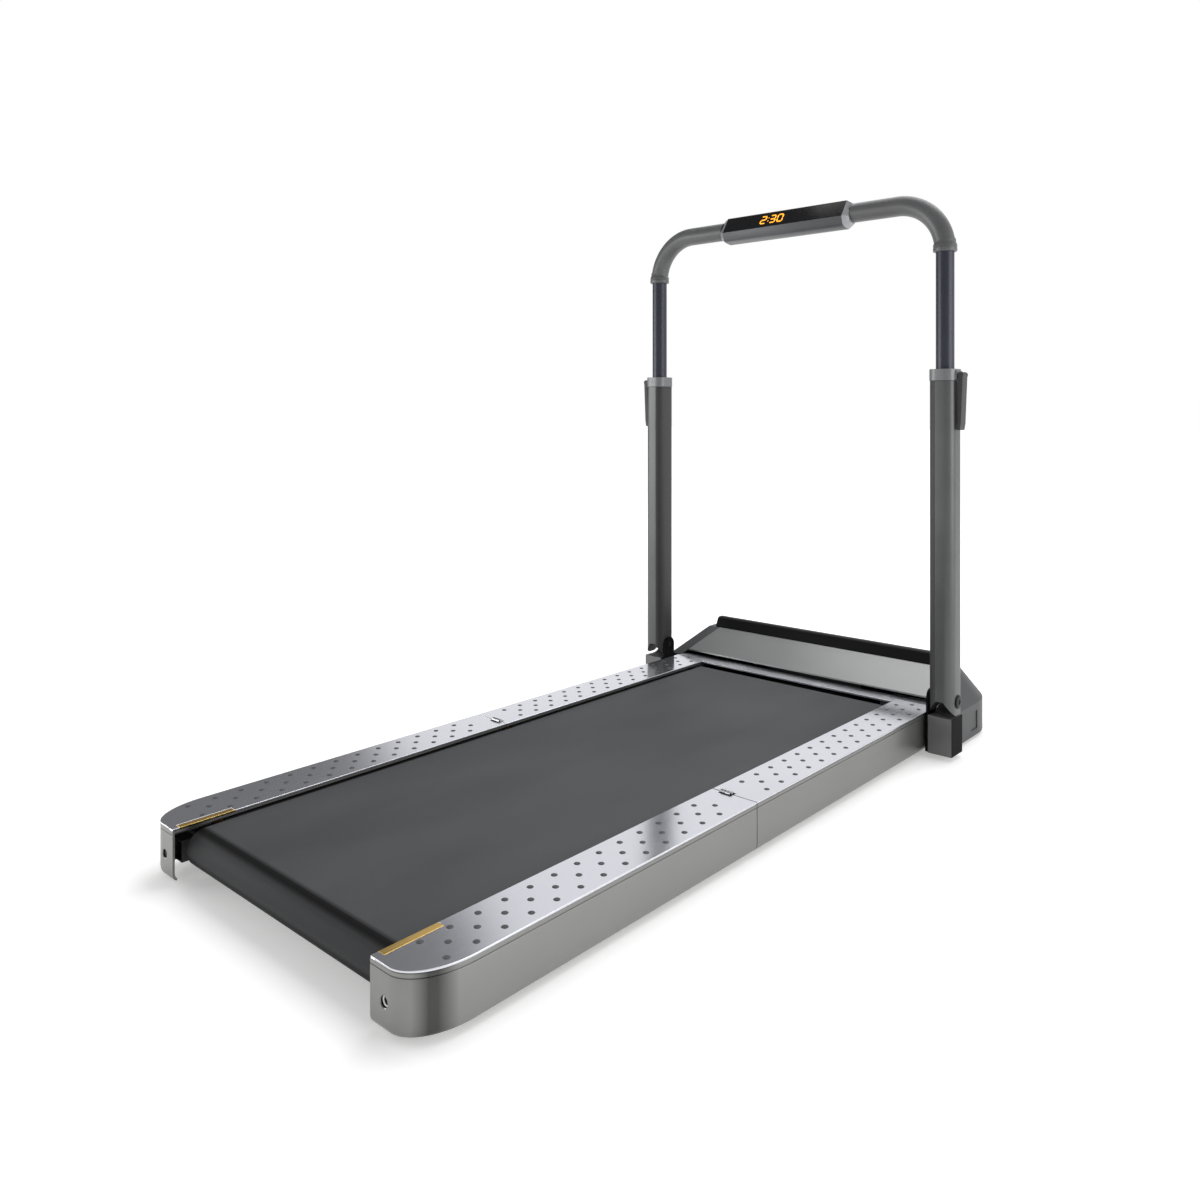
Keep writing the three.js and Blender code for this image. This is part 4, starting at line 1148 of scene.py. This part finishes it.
soft_grip = grip_foam()
GRIP_RADIUS, FLARE_RADIUS, GRIP_BORE = 0.0187, 0.0209, 0.0164
sleeve = [(0.0, 0.0195), (0.0008, 0.0206), (0.002, FLARE_RADIUS), (0.0068, FLARE_RADIUS), (0.0074, 0.0202)]
sleeve += [(0.0084, 0.0202), (0.009, FLARE_RADIUS), (0.0128, 0.0207), (0.0145, 0.0196), (0.017, 0.0189)]
sleeve += [(0.021, 0.0186)]
for side, sign in (("right", 1), ("left", -1)):
    low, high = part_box(f"grip_{side}")
    inner_end = low.x if sign > 0 else -high.x
    line = [(Vector((bar_x, bar_y, low.z + up)), Vector((1, 0, 0))) for up, _ in sleeve]
    radii = [radius for _, radius in sleeve]
    tail = bar_line(low.z + sleeve[-1][0] + 0.002, inner_end, 26, 3)
    line += tail
    radii += [0.0185 if i < 3 else GRIP_RADIUS - 0.0002 for i in range(len(tail))]
    line.insert(-1, (Vector((inner_end + 0.0012, bar_y, bar_z)), Vector((0, 0, 1))))
    radii.insert(-1, GRIP_RADIUS - 0.0002)
    radii[-1] = GRIP_RADIUS - 0.0012
    shape = sided(hose(line, radii, GRIP_BORE, 56), sign)
    grip = new_piece(f"soft_grip_{side}", *shape, soft_grip)
    stands_for(grip, f"grip_{side}", "handlebar")


# ---- Console --------------------------------------------------------------------------------------
# A slim moulded console is clamped round the middle of the bar. A glossy black face slopes towards
# the walker, over a grey chin; the housing's two ends are drawn in to meet the grips.

console_satin = coated("console_satin", srgb(72, 73, 75), 0.42, 0.15)
console_end = coated("console_end", srgb(150, 152, 156), 0.35, 0.4)
FACE_LOW, FACE_HIGH = Vector((0, -0.0285, -0.008)), Vector((0, -0.007, 0.025))
CONSOLE_BACK = [(-26.8, -14), (-24.6, -21), (-22.0, -25.0), (-17, -26.8), (-8, -28.4), (2, -29.6), (7, -26.8)]
CONSOLE_BACK += [(13, -20.6), (18, -15), (21, -6), (22, 2), (21, 9), (18, 15.6), (13.5, 20.5), (8, 22.8)]
CONSOLE_BACK += [(0, 24.3)]
console_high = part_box("console_housing")[1]
face_up = (FACE_HIGH - FACE_LOW).normalized()
face_out = Vector((0, -face_up.z, face_up.y))
face_long = (FACE_HIGH - FACE_LOW).length
bar_middle = Vector((0, bar_y, console_high.z - FACE_HIGH.z))
WINDOW_HALF, WINDOW_DEEP, WINDOW_GAP = 0.1373, 0.0023, 0.0007
COLLAR_RADIUS, END_LONG = 0.0166, 0.0105


def console_ring(x, size, sunk):
    """One ring of the housing: its back and chin, and the front, sunk where the face lies in it."""
    back = [Vector((0, y * 0.001, z * 0.001)) * size for y, z in CONSOLE_BACK]
    deep = WINDOW_DEEP if sunk else 0.0
    top = face_long - WINDOW_GAP
    steps = ((face_long, 0), (top, 0), (top, deep), (WINDOW_GAP, deep), (WINDOW_GAP, 0), (0, 0))
    front = [(FACE_LOW + face_up * up - face_out * down) * size for up, down in steps]
    return [tuple(bar_middle + point + Vector((x, 0, 0))) for point in back + front]


def console_shell():
    """The housing as rings from its left end to its right one, drawn in over the last 11 mm."""
    half = console_high.x
    stations = [(half, 0.72, False), (half - 0.0004, 0.75, False), (half - 0.006, 0.89, False)]
    stations += [(half - 0.0098, 0.98, False), (WINDOW_HALF, 1.0, False), (WINDOW_HALF, 1.0, True)]
    stations = [(-x, size, sunk) for x, size, sunk in stations] + list(reversed(stations))
    rings = [console_ring(*station) for station in stations]
    turns = [math.atan2(z - bar_middle.z, y - bar_y) for _, y, z in rings[-1]]
    around = [Vector((0, math.cos(turn), math.sin(turn))) * COLLAR_RADIUS for turn in turns]
    rings += [[bar_middle + Vector((x, 0, 0)) + spot for spot in around] for x in (half, -half)]
    return skin(rings)


housing = new_piece("console_shell", *console_shell(), console_satin, math.radians(40))
housing.data.materials.append(console_end)
for face in housing.data.polygons:
    face.material_index = 1 if abs(face.center.x) > console_high.x - END_LONG else 0
stands_for(housing, "console_housing", "handlebar")


def gloss_face():
    gloss = Finish(bpy.data.materials.new("gloss_face"))
    dust = gloss.ramp(gloss.grain(220.0, 6.0), 0.45, 0.8)
    colour = gloss.mix(dust, srgb(8, 8, 10), srgb(16, 16, 19))
    return gloss.surface(Base_Color=colour, Roughness=0.08 + dust * 0.12, Specular_IOR_Level=0.25)


recast("console_face", "console_window", gloss_face(), "console_gloss", "handlebar", 0.0006)
dress("display_board", green_board)


# ---- Display digits -------------------------------------------------------------------------------
# A lit amber readout of seven-segment digits shines through the glossy face, left of its middle.
# Each segment is a small flat bar with pointed ends.


def lit_amber():
    amber = Finish(bpy.data.materials.new("lit_amber"))
    glow = amber.mix(amber.grain(500.0), srgb(255, 150, 10), srgb(255, 178, 40))
    return amber.surface(Base_Color=glow, Roughness=0.5, Emission_Color=glow, Emission_Strength=1.2)


SEGMENTS = {"0": "abcdef", "2": "abged", "3": "abgcd"}
DIGIT_WIDE, DIGIT_TALL, DIGIT_GAP, STROKE, POINT = 0.0115, 0.0185, 0.0058, 0.0030, 0.4
COLON_HALF, COLON_STEP, COLON_LOW, COLON_HIGH = 0.0018, 0.0045, 0.28, 0.72
LIFT_LOW, LIFT_HIGH = 0.00002, 0.00012


def bar_segment(x0, u0, x1, u1):
    """One lit bar between two corners, with pointed ends, standing just proud of the face."""
    level = abs(x1 - x0) > abs(u1 - u0)
    long, t = max(x1 - x0, u1 - u0), STROKE / 2
    plan = [(t * POINT, 0), (t, -t), (long - t, -t), (long - t * POINT, 0), (long - t, t), (t, t)]
    outline = [(x0 + a, u0 + b) if level else (x0 - b, u0 + a) for a, b in plan]

    def lifted(lift):
        base = bar_middle + FACE_LOW + face_out * lift
        return [tuple(base + face_up * u + Vector((x, 0, 0))) for x, u in outline]

    return prism(lifted(LIFT_LOW), lifted(LIFT_HIGH))


def readout(text, start, base):
    parts = []
    x = start
    low, mid, top = base, base + DIGIT_TALL / 2, base + DIGIT_TALL
    for mark in text:
        if mark == ":":
            for u in (base + DIGIT_TALL * COLON_LOW, base + DIGIT_TALL * COLON_HIGH):
                parts.append(bar_segment(x - COLON_HALF, u, x + COLON_HALF, u))
            x += COLON_STEP
            continue
        right = x + DIGIT_WIDE
        places = {"a": (x, top, right, top), "g": (x, mid, right, mid), "d": (x, low, right, low)}
        places |= {"f": (x, mid, x, top), "b": (right, mid, right, top)}
        places |= {"e": (x, low, x, mid), "c": (right, low, right, mid)}
        parts += [bar_segment(*places[letter]) for letter in SEGMENTS[mark]]
        x += DIGIT_WIDE + DIGIT_GAP
    return merged(*parts)


digits = new_piece("display_digits", *readout("2:30", -0.049, 0.0105), lit_amber(), doubles=1e-7)
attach(digits, "handlebar")
